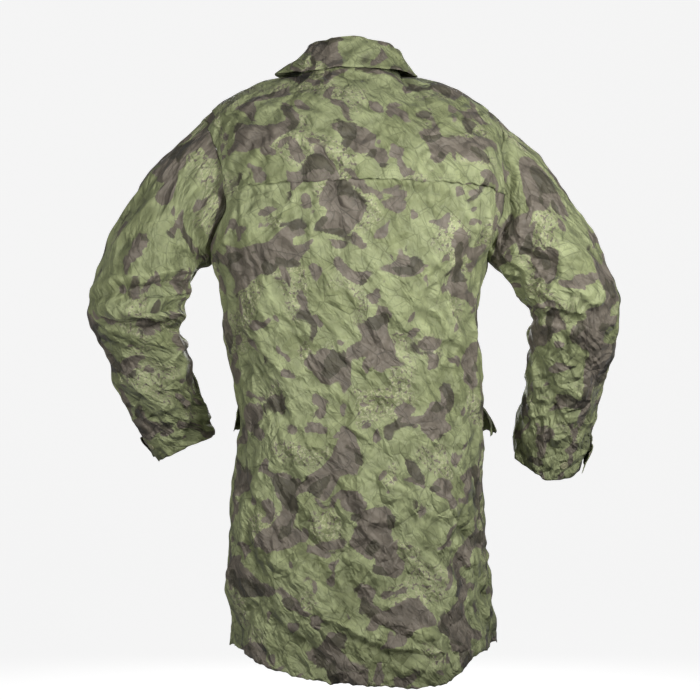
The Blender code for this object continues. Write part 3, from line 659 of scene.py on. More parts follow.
def outward(grid, wraps=False):
    """Unit normals of a grid, whose columns run to the right as it is seen from outside."""
    if wraps:
        grid = np.concatenate([grid[:, -1:], grid, grid[:, :1]], axis=1)
    normal = np.cross(np.gradient(grid, axis=0), np.gradient(grid, axis=1))
    normal /= np.maximum(np.linalg.norm(normal, axis=-1, keepdims=True), 1e-12)
    return normal[:, 1:-1] if wraps else normal


def flat_of(grid, wraps=False, level=0):
    """Each point's place on the piece laid flat: across from its middle column, and down from its
    top. All of the row called level lies at one place down, so that the cloth's grain is straight."""
    if wraps:
        grid = np.concatenate([grid, grid[:, :1]], axis=1)
    across, down = np.zeros(grid.shape[:2]), np.zeros(grid.shape[:2])
    across[:, 1:] = np.cumsum(np.linalg.norm(np.diff(grid, axis=1), axis=-1), axis=1)
    down[1:] = np.cumsum(np.linalg.norm(np.diff(grid, axis=0), axis=-1), axis=0)
    down += down[level].mean() - down[level]
    middle = grid.shape[1] // 2
    return np.stack([across - across[:, middle:middle + 1], down], axis=-1)


# ---------------------------------------------------------------- creases
def levelled(flat):
    """The same places on a sleeve, but each ring of them at one level down, as a print runs on it."""
    down = flat[..., 1].mean(axis=1)[:, None]
    return np.stack([flat[..., 0], np.broadcast_to(down, flat.shape[:2])], axis=-1)


def tapered(along, end, power):
    """1 in the middle of a run and small at its ends, where it stops falling at the share end."""
    return np.sin(math.pi * np.clip(along, end, 1.0 - end)) ** power


def fold_height(grid, folds):
    """How far the solids' large folds lift each point."""
    height = np.zeros(grid.shape[:2])
    flat = grid[..., (0, 2)]
    for fold in folds:
        start = np.array((fold.x0, fold.z0))
        run = np.array((fold.x1, fold.z1)) - start
        share = np.clip(((flat - start) @ run) / (run @ run), 0.0, 1.0)
        distance = np.linalg.norm(flat - start - share[..., None] * run, axis=-1)
        height += fold.height * tapered(share, 0.08, 0.5) * np.exp(-(distance / fold.half_width) ** 2)
    return height


# A crease's profile across its run: places in half widths, above the run over zero, and heights.
# One flank is steep, so that the cloth above a trough hangs over it.
TROUGH = ((-2.0, 0.0), (0.0, -1.0), (0.7, 0.4), (2.4, 0.0))
RIDGE = ((-2.4, 0.0), (-0.7, -0.4), (0.0, 1.0), (2.0, 0.0))
PROFILE_REACH = 2.4


def profile_at(places, profile):
    return np.interp(places, [place for place, _ in profile], [height for _, height in profile])


def beside_run(spots, run):
    """Each spot's distance from a run of points, over zero above it, and its share along the run."""
    steps = np.diff(run, axis=0)
    lengths = np.linalg.norm(steps, axis=1)
    nearest, side, along = np.full(len(spots), np.inf), np.ones(len(spots)), np.zeros(len(spots))
    for start, step, before, length in zip(run[:-1], steps, np.cumsum(lengths) - lengths, lengths):
        share = np.clip(((spots - start) @ step) / (step @ step), 0.0, 1.0)
        away = spots - start - share[:, None] * step
        distance = np.linalg.norm(away, axis=1)
        closer = distance < nearest
        nearest[closer] = distance[closer]
        side[closer] = np.sign(away @ np.array((-step[1], step[0])))[closer]
        along[closer] = (before + share * length)[closer] / lengths.sum()
    return nearest * side, along


def crease_height(grid, creases):
    """How far creases lift each point, by its distance in X and Z from each one's run."""
    height = np.zeros(grid.shape[:2])
    seen = grid[..., (0, 2)]
    for crease in creases:
        run = np.array(crease.run) * MM
        if run[0, 0] > run[-1, 0]:
            run = run[::-1]
        width = crease.width * MM
        reach = PROFILE_REACH * width
        near = ((seen > run.min(axis=0) - reach) & (seen < run.max(axis=0) + reach)).all(axis=-1)
        beside, along = beside_run(seen[near], run)
        lift = abs(crease.height) * MM * tapered(along, 0.05, 0.6)
        height[near] += lift * profile_at(beside / width, TROUGH if crease.height < 0 else RIDGE)
    return softened(height)


def say(flat, lies):
    """Each lie's share in how the creases run at each point."""
    weights = []
    for lie in lies:
        away = (flat[..., 0] - lie.across) ** 2 + (flat[..., 1] - lie.down) ** 2
        weights.append(np.exp(-2.0 * away / lie.reach ** 2))
    weights = np.stack(weights) + 1e-9
    return weights / weights.sum(axis=0)


CORNER_SHAKE = 0.42             # how far a net's corners stray, as a share of its mesh


def crumple(flat, size, stretch, degrees, seed):
    """Crumpled cloth: a random net of triangles, long in one direction, whose corners stand at random
    heights between -1 and 1, read at each point."""
    rng = np.random.default_rng(seed)
    angle = math.radians(degrees)
    turned = flat @ np.array(((math.cos(angle), -math.sin(angle)), (math.sin(angle), math.cos(angle))))
    at = turned / (size * stretch, size)
    low, high = at.min(axis=(0, 1)) - 2.0, at.max(axis=(0, 1)) + 2.0
    columns, rows = np.ceil(high - low).astype(int) + 1
    corners = np.stack(np.meshgrid(np.arange(columns), np.arange(rows)), axis=-1).reshape(-1, 2) + low
    corners = corners + rng.uniform(-CORNER_SHAKE, CORNER_SHAKE, corners.shape)
    heights = rng.uniform(-1.0, 1.0, len(corners))
    points, _, faces, origins = delaunay_2d_cdt([Vector(c) for c in corners.tolist()], [], [], 0, 1e-6)[:4]
    solid = [(p.x, p.y, heights[origin[0]]) for p, origin in zip(points, origins)]
    net = BVHTree.FromPolygons(solid, faces)
    down = Vector((0.0, 0.0, -1.0))
    hits = (net.ray_cast(Vector((x, y, 4.0)), down)[0] for x, y in at.reshape(-1, 2).tolist())
    return np.array([hit.z if hit else 0.0 for hit in hits]).reshape(flat.shape[:2])


CrumpleScale = namedtuple("CrumpleScale", "size stretch height")
CRUMPLES = [
    CrumpleScale(0.050, 2.2, 4.2 * MM),
    CrumpleScale(0.023, 2.8, 2.5 * MM),
    CrumpleScale(0.012, 3.0, 0.7 * MM),
]


def crumple_height(flat, lies, seed):
    height = np.zeros(flat.shape[:2])
    shares = say(flat, lies)
    for number, (lie, share) in enumerate(zip(lies, shares)):
        for step, scale in enumerate(CRUMPLES):
            net = crumple(flat, scale.size, scale.stretch, lie.degrees, seed + 10 * number + step)
            height += share * scale.height * net
    return height / np.sqrt((shares ** 2).sum(axis=0))


# Stray creases, from least to most, and how far each one turns and bows.
STRAY_HALF_LENGTH = (14 * MM, 55 * MM)
STRAY_WIDTH = (3.0 * MM, 4.8 * MM)
STRAY_DEPTH = (1.0 * MM, 3.2 * MM)
STRAY_TURN = 14.0               # degrees
STRAY_BOW = 2.5                 # metres of bow for each square metre of length


def stray_creases(flat, lies, count, seed):
    """Short thin creases strewn over a piece, along the way that its cloth lies."""
    rng = np.random.default_rng(seed)
    low, high = flat.min(axis=(0, 1)), flat.max(axis=(0, 1))
    height = np.zeros(flat.shape[:2])
    for _ in range(count):
        centre = rng.uniform(low, high)
        shares = say(centre[None, None, :], lies)[:, 0, 0]
        degrees = rng.choice(named(lies, "degrees"), p=shares / shares.sum())
        angle = math.radians(degrees + rng.normal(0.0, STRAY_TURN))
        half_length = rng.uniform(*STRAY_HALF_LENGTH)
        width = rng.uniform(*STRAY_WIDTH)
        deep = rng.uniform(*STRAY_DEPTH)
        bow = rng.normal(0.0, STRAY_BOW)
        away = flat - centre
        along = away[..., 0] * math.cos(angle) + away[..., 1] * math.sin(angle)
        beside = away[..., 0] * math.sin(angle) - away[..., 1] * math.cos(angle) - bow * along ** 2
        fade = np.clip(1.0 - (along / half_length) ** 2, 0.0, 1.0)
        height += deep * fade * profile_at(beside / width, TROUGH)
    return height


CrushRow = namedtuple("CrushRow", "below share")
CRUSH = [
    CrushRow(0.08, 0.80),
    CrushRow(0.25, 0.58),
    CrushRow(0.40, 0.68),
    CrushRow(0.60, 1.00),
    CrushRow(0.95, 1.40),
]
SLEEVE_FROM, SLEEVE_RISE = 0.22, 0.08    # how far out the sleeves' share starts, and rises to its full
SLEEVE_MORE = 0.40


def crush(points):
    """How strongly the cloth is crumpled: least between the shoulder blades, most near the hem, and
    more on the sleeves."""
    by_level = np.interp(-points[..., 2], named(CRUSH, "below"), named(CRUSH, "share"))
    on_sleeve = smooth((np.abs(points[..., 0]) - SLEEVE_FROM) / SLEEVE_RISE)
    return by_level * (1.0 + SLEEVE_MORE * on_sleeve)


SIDE_SEAM_REACH = 0.12          # share of half a face within which its side seam holds it
ARMPIT_BAND, EASING_ROUNDS = 0.05, 30


def from_side(across, reach):
    """0 at the side seams of a face, and 1 from the share reach inwards."""
    return smooth((1.0 - np.abs(across)) / reach)[None, :]


def eased(grid, across, lines):
    """The grid with its bend at the level of the armpits eased out, away from the side seams."""
    near = np.exp(-((lines - 1.0) / ARMPIT_BAND) ** 2)[:, None] * from_side(across, SIDE_SEAM_REACH)
    for _ in range(EASING_ROUNDS):
        between = (grid[:-2] + grid[2:]) / 2
        inner = grid[1:-1] + 0.5 * near[1:-1, :, None] * (between - grid[1:-1])
        grid = np.concatenate([grid[:1], inner, grid[-1:]])
    return grid


Sway = namedtuple("Sway", "shortest longest height")
SWAYS = [Sway(0.070, 0.200, 2.2 * MM), Sway(0.020, 0.050, 1.2 * MM)]
SWAY_COUNT, SWAY_GAIN = 14, 1.4


def sway(points):
    """A slow and a quick unevenness of the whole garment, the same for pieces that meet."""
    rng = np.random.default_rng(5)
    moved = np.zeros(points.shape)
    for each in SWAYS:
        for _ in range(SWAY_COUNT):
            heading = rng.normal(size=3)
            heading *= 2 * math.pi / rng.uniform(each.shortest, each.longest) / np.linalg.norm(heading)
            push = rng.normal(size=3) * (1.0, 1.0, 0.5) * each.height
            moved += np.sin(points @ heading + rng.uniform(0, 2 * math.pi))[..., None] * push
    return moved * SWAY_GAIN / math.sqrt(SWAY_COUNT)


STUD_CALM = 0.020
STUDS = sorted(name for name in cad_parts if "stud" in name)
STUD_PLACES = {name: np.mean([np.array(corner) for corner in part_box(name)], axis=0) for name in STUDS}


def calm(points):
    """1 over most of the garment, and 0 at a press stud, where the cloth keeps its place."""
    free = np.ones(points.shape[:2])
    for place in STUD_PLACES.values():
        free *= 1.0 - np.exp(-(np.linalg.norm(points - place, axis=-1) / STUD_CALM) ** 2)
    return free


def softened(height, wraps=False):
    """Heights averaged a little with their neighbours, so that no crease is sharper than the grid."""
    for axis in (0, 1):
        pad = [(0, 0), (0, 0)]
        pad[axis] = (1, 1)
        wide = np.pad(height, pad, mode="wrap" if wraps and axis == 1 else "edge")
        before, after = (wide[:-2], wide[2:]) if axis == 0 else (wide[:, :-2], wide[:, 2:])
        height = 0.5 * height + 0.25 * (before + after)
    return height


# ---------------------------------------------------------------- materials
GREEN = (0.276, 0.304, 0.156)
GREEN_DEEP = (0.166, 0.184, 0.082)
BROWN = (0.164, 0.142, 0.112)
DARK = (0.088, 0.080, 0.056)
CREAM = (0.350, 0.355, 0.212)
GREEN_REVERSE = (0.160, 0.180, 0.100)
THREAD_GREEN = (0.115, 0.130, 0.065)
STUD_OLIVE = (0.240, 0.235, 0.140)
TONE_RANGE = (0.84, 1.16)       # how unevenly the print is dyed, from darkest to lightest
PAINTED_FOLD_SHADING_RANGE = (0.76, 1.16)  # painted shade where the cloth is pinched and painted highlight where it stands proud, darkest to lightest
REVERSE_FADE = 0.55             # how far the print is lost on the cloth's inside
NYLON_ROUGHNESS = (0.52, 0.72)

# The print's blotches and flecks: how many to a metre, about, where their noise is read from, how
# far out on it their edge lies, and how soft that edge is.
Blotch = namedtuple("Blotch", "scale offset edge softness")
CLOUDS = Blotch(9.0, (3.1, 7.7, 0.0), 0.56, 0.05)
FLECKED_PATCHES = Blotch(10.5, (9.4, 2.2, 0.0), 0.60, 0.03)
PALE_FLECKS = Blotch(230.0, (1.7, 4.9, 0.0), 0.56, 0.05)
BROWN_FLECKS = Blotch(170.0, (8.8, 0.4, 0.0), 0.62, 0.05)
SMALL_BROWN = Blotch(26.0, (6.6, 3.3, 0.0), 0.655, 0.012)
LARGE_BROWN = Blotch(13.5, (0.3, 5.6, 0.0), 0.585, 0.008)
ROUND_BROWN = LARGE_BROWN._replace(edge=0.54, softness=0.02)
DARK_CORES = Blotch(23.0, (5.1, 1.9, 0.0), 0.60, 0.012)
CLOUD_SHARE = 0.45              # how far the clouds go towards the deeper green


def socket(sockets, name):
    found = [s for s in sockets if s.identifier == name] or [s for s in sockets if s.name == name]
    return found[0]


def feed(tree, place, value):
    """Links another node's output to an input, or sets a plain value on it."""
    if isinstance(value, bpy.types.NodeSocket):
        tree.links.new(value, place)
    else:
        place.default_value = value


def node(tree, kind, inputs=(), **settings):
    """A node with its settings, and a value or a link for each input named."""
    made = tree.nodes.new(kind)
    for name, value in settings.items():
        setattr(made, name, value)
    for name, value in dict(inputs).items():
        feed(tree, socket(made.inputs, name), value)
    return made


def math_node(tree, operation, first, second):
    made = node(tree, "ShaderNodeMath", operation=operation)
    feed(tree, made.inputs[0], first)
    feed(tree, made.inputs[1], second)
    return made.outputs[0]


def noise(tree, at, scale, detail=2.0, roughness=0.5, offset=(0.0, 0.0, 0.0)):
    moved = node(tree, "ShaderNodeMapping", {"Vector": at, "Location": offset}).outputs[0]
    return node(tree, "ShaderNodeTexNoise", {"Vector": moved, "Scale": scale, "Detail": detail,
                                             "Roughness": roughness}, noise_dimensions="2D")


def ranged(tree, value, source, result, **settings):
    """A value carried over from the range source to the range result, and held at its ends."""
    return node(tree, "ShaderNodeMapRange", {
        "Value": value, "From Min": source[0], "From Max": source[1],
        "To Min": result[0], "To Max": result[1]}, **settings).outputs["Result"]


def beyond(tree, value, edge, softness):
    """0 below an edge and 1 above it, with a soft step between."""
    step = (edge - softness, edge + softness)
    return ranged(tree, value, step, (0.0, 1.0), interpolation_type="SMOOTHSTEP")


def mix(tree, share, first, second):
    """One colour passing into another. Each is a link, or its red, green and blue."""
    made = node(tree, "ShaderNodeMix", {"Factor_Float": share}, data_type="RGBA")
    for name, colour in (("A_Color", first), ("B_Color", second)):
        linked = isinstance(colour, bpy.types.NodeSocket)
        feed(tree, socket(made.inputs, name), colour if linked else (*colour, 1.0))
    return socket(made.outputs, "Result_Color")


def new_material(name):
    material = bpy.data.materials.new(name)
    material.use_nodes = True
    return material, material.node_tree, material.node_tree.nodes["Principled BSDF"]


def warped(tree, at, by, reach):
    """Places moved about by a noise's colour, up to about half of reach."""
    centred = node(tree, "ShaderNodeVectorMath", {
        "Vector": by.outputs["Color"], "Vector_001": (0.5, 0.5, 0.5)}, operation="SUBTRACT")
    return node(tree, "ShaderNodeVectorMath", {
        "Vector": centred.outputs[0], "Vector_001": (reach, reach, 0.0), "Vector_002": at},
        operation="MULTIPLY_ADD").outputs[0]


def blotches(tree, at, kind, detail=2.0):
    """1 inside blotches of a kind, and 0 between them."""
    lobes = noise(tree, at, kind.scale, detail=detail, offset=kind.offset).outputs["Fac"]
    return beyond(tree, lobes, kind.edge, kind.softness)


def camouflage(tree, at):
    """A generic camouflage print: rounded lobed blotches on two greens, with patches of flecks."""
    spot = warped(tree, at, noise(tree, at, 11.0, detail=1.0), 0.045)
    spot = warped(tree, spot, noise(tree, at, 150.0, detail=3.0, roughness=0.65), 0.007)
    clouds = math_node(tree, "MULTIPLY", blotches(tree, spot, CLOUDS, detail=1.0), CLOUD_SHARE)
    colour = mix(tree, clouds, GREEN, GREEN_DEEP)
    patch = blotches(tree, spot, FLECKED_PATCHES, detail=1.0)
    for kind, fleck_colour in ((PALE_FLECKS, CREAM), (BROWN_FLECKS, BROWN)):
        flecks = math_node(tree, "MULTIPLY", patch, blotches(tree, at, kind))
        colour = mix(tree, flecks, colour, fleck_colour)
    for kind in (SMALL_BROWN, LARGE_BROWN):
        colour = mix(tree, blotches(tree, spot, kind, detail=1.0), colour, BROWN)
    round_brown = blotches(tree, spot, ROUND_BROWN, detail=1.0)
    cores = math_node(tree, "MULTIPLY", round_brown, blotches(tree, spot, DARK_CORES, detail=1.0))
    return mix(tree, cores, colour, DARK)


# Nets of small pressed facets: how wide they are, which way they run (degrees from across towards
# down), how much longer that way, how steeply they rise or sink from their edges at most, and how
# far some of those edges are sunk and darkened with painted shade.
Net = namedtuple("Net", "cell degrees stretch lean line")
NETS = [
    Net(0.0440, 58, 2.2, 0.85, 0.46),
    Net(0.0200, 47, 2.0, 1.00, 0.38),
    Net(0.0260, 142, 1.6, 0.75, 0.30),
    Net(0.0100, 68, 2.0, 0.80, 0.22),
    Net(0.0056, 52, 1.9, 0.80, 0.00),
]
LINE_WIDTH, LINE_DEPTH = 1.0 * MM, 0.9


def crinkles(tree, at):
    """The facets' height in millimetres, some proud and some hollow, and a mask of the lines between them,
    which is used to darken them with painted shade.
    """
    shaken = warped(tree, at, noise(tree, at, 26.0), 0.004)
    height, lines = 0.0, 0.0
    for number, net in enumerate(NETS):
        turned = node(tree, "ShaderNodeMapping", {
            "Vector": shaken, "Location": (0.37 * number + 0.11, 0.53 * number + 0.29, 0.0),
            "Rotation": (0.0, 0.0, math.radians(net.degrees)),
            "Scale": (net.stretch, 1.0, 1.0)}, vector_type="TEXTURE").outputs[0]
        cells = {"Vector": turned, "Scale": 1 / net.cell}
        edge = node(tree, "ShaderNodeTexVoronoi", cells, voronoi_dimensions="2D",
                    feature="DISTANCE_TO_EDGE").outputs["Distance"]
        facet = node(tree, "ShaderNodeTexVoronoi", cells, voronoi_dimensions="2D", feature="F1").outputs
        signed = math_node(tree, "SUBTRACT", facet["Color"], 0.5)
        relief = math_node(tree, "MULTIPLY", math_node(tree, "MULTIPLY", signed, edge),
                           2 * net.lean * net.cell / MM)
        height = math_node(tree, "ADD", height, relief)
        if net.line:
            near = ranged(tree, edge, (0.0, LINE_WIDTH / net.cell), (net.line, 0.0))
            offset = (1.3 * number, 2.7 * number, 0.0)
            there = noise(tree, at, 15.0 + 10.0 * number, offset=offset).outputs["Fac"]
            line = math_node(tree, "MULTIPLY", near, beyond(tree, there, 0.50, 0.10))
            height = math_node(tree, "SUBTRACT", height, math_node(tree, "MULTIPLY", line, LINE_DEPTH))
            lines = math_node(tree, "MAXIMUM", lines, line)
    return height, lines


def nylon(name, faded):
    """Thin printed nylon: the print, a slight unevenness of tone, painted shade in its creases and along its
    facets' edge lines, painted highlight where it stands proud, a soft gloss, and small creases.
    """
    material, tree, shader = new_material(name)
    at = node(tree, "ShaderNodeUVMap", uv_map="cloth").outputs["UV"]
    colour = camouflage(tree, at)
    tone = noise(tree, at, 28.0, detail=5.0, roughness=0.7, offset=(2.0, 2.0, 0.0)).outputs["Fac"]
    light = ranged(tree, tone, (0.3, 0.7), TONE_RANGE)
    # Painted shade in pinched creases and painted highlight on proud cloth, read from the fold attribute.
    fold = node(tree, "ShaderNodeAttribute", attribute_name="fold").outputs["Fac"]
    painted_fold_shading = ranged(tree, fold, (-1.0, 1.0), PAINTED_FOLD_SHADING_RANGE)
    height, lines = crinkles(tree, at)
    crushed = node(tree, "ShaderNodeAttribute", attribute_name="crush").outputs["Fac"]
    height = math_node(tree, "MULTIPLY", height, crushed)
    # Painted shade: the facets' edge lines darken the print.
    painted_line_shade = math_node(tree, "SUBTRACT", 1.0, lines)
    strength = math_node(tree, "MULTIPLY", math_node(tree, "MULTIPLY", light, painted_fold_shading), painted_line_shade)
    printed = node(tree, "ShaderNodeVectorMath", {"Vector": colour, "Scale": strength},
                   operation="SCALE").outputs[0]
    if faded:
        printed = mix(tree, REVERSE_FADE, printed, GREEN_REVERSE)
    tree.links.new(printed, shader.inputs["Base Color"])

    rough = noise(tree, at, 60.0, detail=2.0, offset=(6.0, 1.0, 0.0)).outputs["Fac"]
    tree.links.new(ranged(tree, rough, (0.0, 1.0), NYLON_ROUGHNESS), shader.inputs["Roughness"])
    shader.inputs["Specular IOR Level"].default_value = 0.30
    shader.inputs["Sheen Weight"].default_value = 0.05
    shader.inputs["Sheen Roughness"].default_value = 0.4

    weave = noise(tree, at, 1400.0, detail=1.0).outputs["Fac"]
    bump = node(tree, "ShaderNodeBump", {"Height": height, "Strength": 1.0, "Distance": MM})
    fine = node(tree, "ShaderNodeBump", {"Height": weave, "Strength": 0.2, "Distance": 0.2 * MM,
                                         "Normal": bump.outputs[0]})
    tree.links.new(fine.outputs[0], shader.inputs["Normal"])
    return material


def speckled(name, colour, scale, detail, paler, roughness):
    """A plain finish in one colour, paler in fine specks: wear on plastic, or the twist of a thread."""
    material, tree, shader = new_material(name)
    at = node(tree, "ShaderNodeTexCoord").outputs["Object"]
    specks = node(tree, "ShaderNodeTexNoise", {"Vector": at, "Scale": scale, "Detail": detail})
    pale = tuple(min(1.0, channel * paler) for channel in colour)
    tree.links.new(mix(tree, specks.outputs["Fac"], colour, pale), shader.inputs["Base Color"])
    shader.inputs["Roughness"].default_value = roughness
    return material


PRINT = nylon("printed nylon", faded=False)
REVERSE = nylon("printed nylon reverse", faded=True)
STUD = speckled("olive stud plastic", STUD_OLIVE, scale=420.0, detail=3.0, paler=1.35, roughness=0.42)
THREAD = speckled("olive thread", THREAD_GREEN, scale=900.0, detail=2.0, paler=1.6, roughness=0.7)


# ---------------------------------------------------------------- pieces
# Where on the printed cloth each piece is cut, in metres.
CUT_AT = {
    "back": (0.0, 0.0), "back_yoke": (0.9, 0.35), "collar": (12.0, 0.3),
    "front_left": (1.3, 0.4), "front_right": (2.7, 0.4),
    "pocket_left": (3.0, 0.9), "pocket_right": (5.0, 0.9),
    "pocket_flap_left": (5.0, 0.2), "pocket_flap_right": (7.0, 0.2),
    "sleeve_left": (7.0, 0.6), "sleeve_right": (9.0, 0.6),
    "cuff_tab_left": (9.0, 0.1), "cuff_tab_right": (11.0, 0.1),
}
PROUD_AT_MOST = 1.6 * MM        # how far off its neighbours' middle a point counts as wholly proud


def concavity(grid, normal, wraps):
    """Where the cloth is pinched (-1) or proud (1), from each point's place among its neighbours."""
    spread = 2
    total = np.zeros(grid.shape)
    for axis in (0, 1):
        pad = [(0, 0), (0, 0), (0, 0)]
        pad[axis] = (spread, spread)
        wide = np.pad(grid, pad, mode="wrap" if wraps and axis == 1 else "reflect")
        ahead = wide[2 * spread:] if axis == 0 else wide[:, 2 * spread:]
        behind = wide[:-2 * spread] if axis == 0 else wide[:, :-2 * spread]
        total += grid - (ahead + behind) / 2
    proud = np.einsum("rcx,rcx->rc", total, normal)
    return softened(np.clip(proud / PROUD_AT_MOST, -1.0, 1.0), wraps)


def added(name, data):
    """A new object at the origin, shown in the scene."""
    thing = bpy.data.objects.new(name, data)
    bpy.context.scene.collection.objects.link(thing)
    return thing


def add_cloth(name, grid, flat, wraps=False, print_at=None):
    """A cloth piece from its outer face. flat is each point's place on the piece laid flat, which gives
    the size it was cut to. print_at is each point's place on the print, from the place the piece was cut,
    where it isn't its place on the flat piece."""
    rows, columns = grid.shape[:2]
    ids = np.arange(rows * columns).reshape(rows, columns)
    places = np.arange(rows * flat.shape[1]).reshape(rows, -1)
    if wraps:
        ids = np.concatenate([ids, ids[:, :1]], axis=1)

    def corners(numbers):
        quads = (numbers[:-1, :-1], numbers[1:, :-1], numbers[1:, 1:], numbers[:-1, 1:])
        return np.stack(quads, axis=-1).reshape(-1, 4)

    mesh = bpy.data.meshes.new(name)
    mesh.from_pydata(grid.reshape(-1, 3).tolist(), [], corners(ids).tolist())
    spots = (flat if print_at is None else print_at) + np.array(CUT_AT[name])
    spots = spots.reshape(-1, 2)[corners(places).ravel()]
    mesh.uv_layers.new(name="cloth").data.foreach_set("uv", spots.astype(np.float32).ravel())
    # The fold attribute drives the print's painted shade in pinched creases and its painted highlight on
    # proud cloth.
    for key, values in (("fold", concavity(grid, outward(grid, wraps), wraps)), ("crush", crush(grid))):
        values = values.astype(np.float32).ravel()
        mesh.attributes.new(key, "FLOAT", "POINT").data.foreach_set("value", values)
    mesh.shade_smooth()
    mesh.materials.append(PRINT)
    mesh.materials.append(REVERSE)
    piece = added(name + "_cloth", mesh)
    wall = piece.modifiers.new("wall", "SOLIDIFY")
    wall.thickness = WALL
    wall.offset = -1.0
    wall.material_offset = 1
    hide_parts(name)
    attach(piece, "root")


def raised(grid, distance, wraps=False):
    return grid + outward(grid, wraps) * np.broadcast_to(distance, grid.shape[:2])[..., None]


HEM_BAND = 20 * MM              # how wide the turned hem is
HEM_REACH = 1.5 * HEM_BAND      # how far from the edge its puckers still show
HEM_PROUD, HEM_LINE_DEPTH, HEM_LINE_WIDTH = 0.5 * MM, 0.9 * MM, 3.0 * MM
PUCKER_HEIGHT, PUCKER_SIZES = 1.1 * MM, (0.017, 0.026, 0.043)
WAVE_HEIGHT, WAVE_SIZES = 2.4 * MM, (0.013, 0.021, 0.034, 0.061)


def ripple(along, sizes, seed):
    """An uneven wave between -1 and 1 along an edge, of several sizes at once."""
    phases = np.random.default_rng(seed).uniform(0, 2 * math.pi, len(sizes))
    waves = (np.sin(along * 2 * math.pi / size + phase) for size, phase in zip(sizes, phases))
    return sum(waves) / len(sizes)


def hem_height(from_edge, along, seed):
    """A turned hem: a little proud, its stitched line pulled in and puckered."""
    band = HEM_PROUD * smooth((HEM_BAND - from_edge) / HEM_LINE_WIDTH)
    line = -HEM_LINE_DEPTH * np.exp(-((from_edge - HEM_BAND) / HEM_LINE_WIDTH) ** 2)
    pucker = PUCKER_HEIGHT * ripple(along, PUCKER_SIZES, seed)
    return band + line + pucker * np.exp(-(from_edge / HEM_REACH) ** 2)


def hem_wave(from_edge, along, seed):
    """How far a hem's edge runs up and down, drawn in by its creases."""
    return WAVE_HEIGHT * ripple(along, WAVE_SIZES, seed) * np.exp(-from_edge / HEM_REACH)


SLEEVE_CALM = 0.68              # the small creases' share on sleeves, where folds are what shows


def shaped(grid, hold, creases, lies, strays, seed, seam=1.0, wraps=False, level=0):
    """The piece with all its relief. hold is 0 where a seam keeps the cloth in place, and seam the
    same for the small creases alone."""
    flat = flat_of(grid, wraps, level)[:, :grid.shape[1]]
    flat = levelled(flat) if wraps else flat
    strewn = softened(stray_creases(flat, lies, strays, seed + 1), wraps)
    small = (crumple_height(flat, lies, seed) + strewn) * crush(grid) * (SLEEVE_CALM if wraps else 1.0)
    height = (creases + small * seam) * hold
    return grid + (outward(grid, wraps) * height[..., None] + sway(grid)) * calm(grid)[..., None]


def line_index(lines, value):
    return int(np.argmin(np.abs(np.asarray(lines) - value)))


# A panel's creased points, its smooth form, its places on the flat piece, and its columns and rows.
Panel = namedtuple("Panel", "grid form flat across lines")


TorsoFace = namedtuple("TorsoFace", "rows columns folds creases lies strays")
TORSO = {
    BACK: TorsoFace(272, 180, BACK_FOLDS, YOKE_CREASES + BACK_CREASES, BACK_LIES, 170),
    FRONT: TorsoFace(232, 170, FRONT_FOLDS, FRONT_CREASES, FRONT_LIES, 140),
}
FOLD_FADE = 0.3                 # share of the armhole's depth in which the large folds fade in
SEAM_HOLD_ACROSS, SEAM_HOLD_DOWN = 0.03, 0.05   # how far a seam keeps the cloth in place
UPWARDS = (0.0, 0.0, 1.0)


def make_torso(face):
    own = TORSO[face]
    across, lines = torso_places(face, own.rows, own.columns)
    if face == FRONT:
        across = across[::-1]
    form = eased(torso_grid(face, across, lines), across, lines)
    seam = from_side(across, SIDE_SEAM_REACH) * smooth(lines / FOLD_FADE)[:, None]
    form = raised(form, fold_height(form, own.folds) * seam)
    armpit = line_index(lines, 1.0)
    flat = flat_of(form, level=armpit)
    from_hem = flat[-1:, :, 1] - flat[..., 1]
    hold = from_side(across, SEAM_HOLD_ACROSS) * smooth(lines / SEAM_HOLD_DOWN)[:, None]
    heights = crease_height(form, own.creases) + hem_height(from_hem, flat[..., 0], seed=40 + face)
    grid = shaped(form, hold, heights, own.lies, own.strays, seed=100 + face, level=armpit)
    wave = hem_wave(from_hem, flat[..., 0], seed=50 + face) * hold * calm(form)
    grid = grid + wave[..., None] * UPWARDS
    return Panel(grid, form, flat, across, lines)


def part_of(panel, top, foot, from_across, to_across):
    first, last = sorted(line_index(panel.across, a) for a in (from_across, to_across))
    return (slice(line_index(panel.lines, top), line_index(panel.lines, foot) + 1), slice(first, last + 1))


YOKE_SIDE_FADE, YOKE_WAVE = 0.10, 1.2
YOKE_LOOSE_RANGE = (0.12, 1.2)


def yoke_loose(along):
    """How far each place along the yoke's hem stands off, as a share of YOKE_HEM_LIFT."""
    loose = 0.45 + 0.35 * np.sin(along * 41 + 0.6) + 0.30 * np.sin(along * 97 + 2.0)
    return np.clip(loose, *YOKE_LOOSE_RANGE)


def make_back():
    panel = make_torso(BACK)
    add_cloth("back", panel.grid, panel.flat)

    under = part_of(panel, YOKE_TOP, YOKE_HEM, -YOKE_ACROSS, YOKE_ACROSS)
    grid, flat = panel.grid[under], panel.flat[under]
    down = np.linspace(0.0, 1.0, grid.shape[0])[:, None]
    along = flat[..., 0]
    ends = smooth((YOKE_ACROSS - np.abs(panel.across[under[1]])) / YOKE_SIDE_FADE)[None, :]
    lift = LAYER + YOKE_HEM_LIFT * yoke_loose(along) * ends * down ** 4
    wave = YOKE_WAVE * hem_wave(np.zeros(grid.shape[:2]), along, seed=61)
    sag = (YOKE_HEM_SAG + wave) * ends * down ** 6
    yoke = raised(grid, lift) - sag[..., None] * UPWARDS
    add_cloth("back_yoke", yoke, flat)
    return panel, yoke


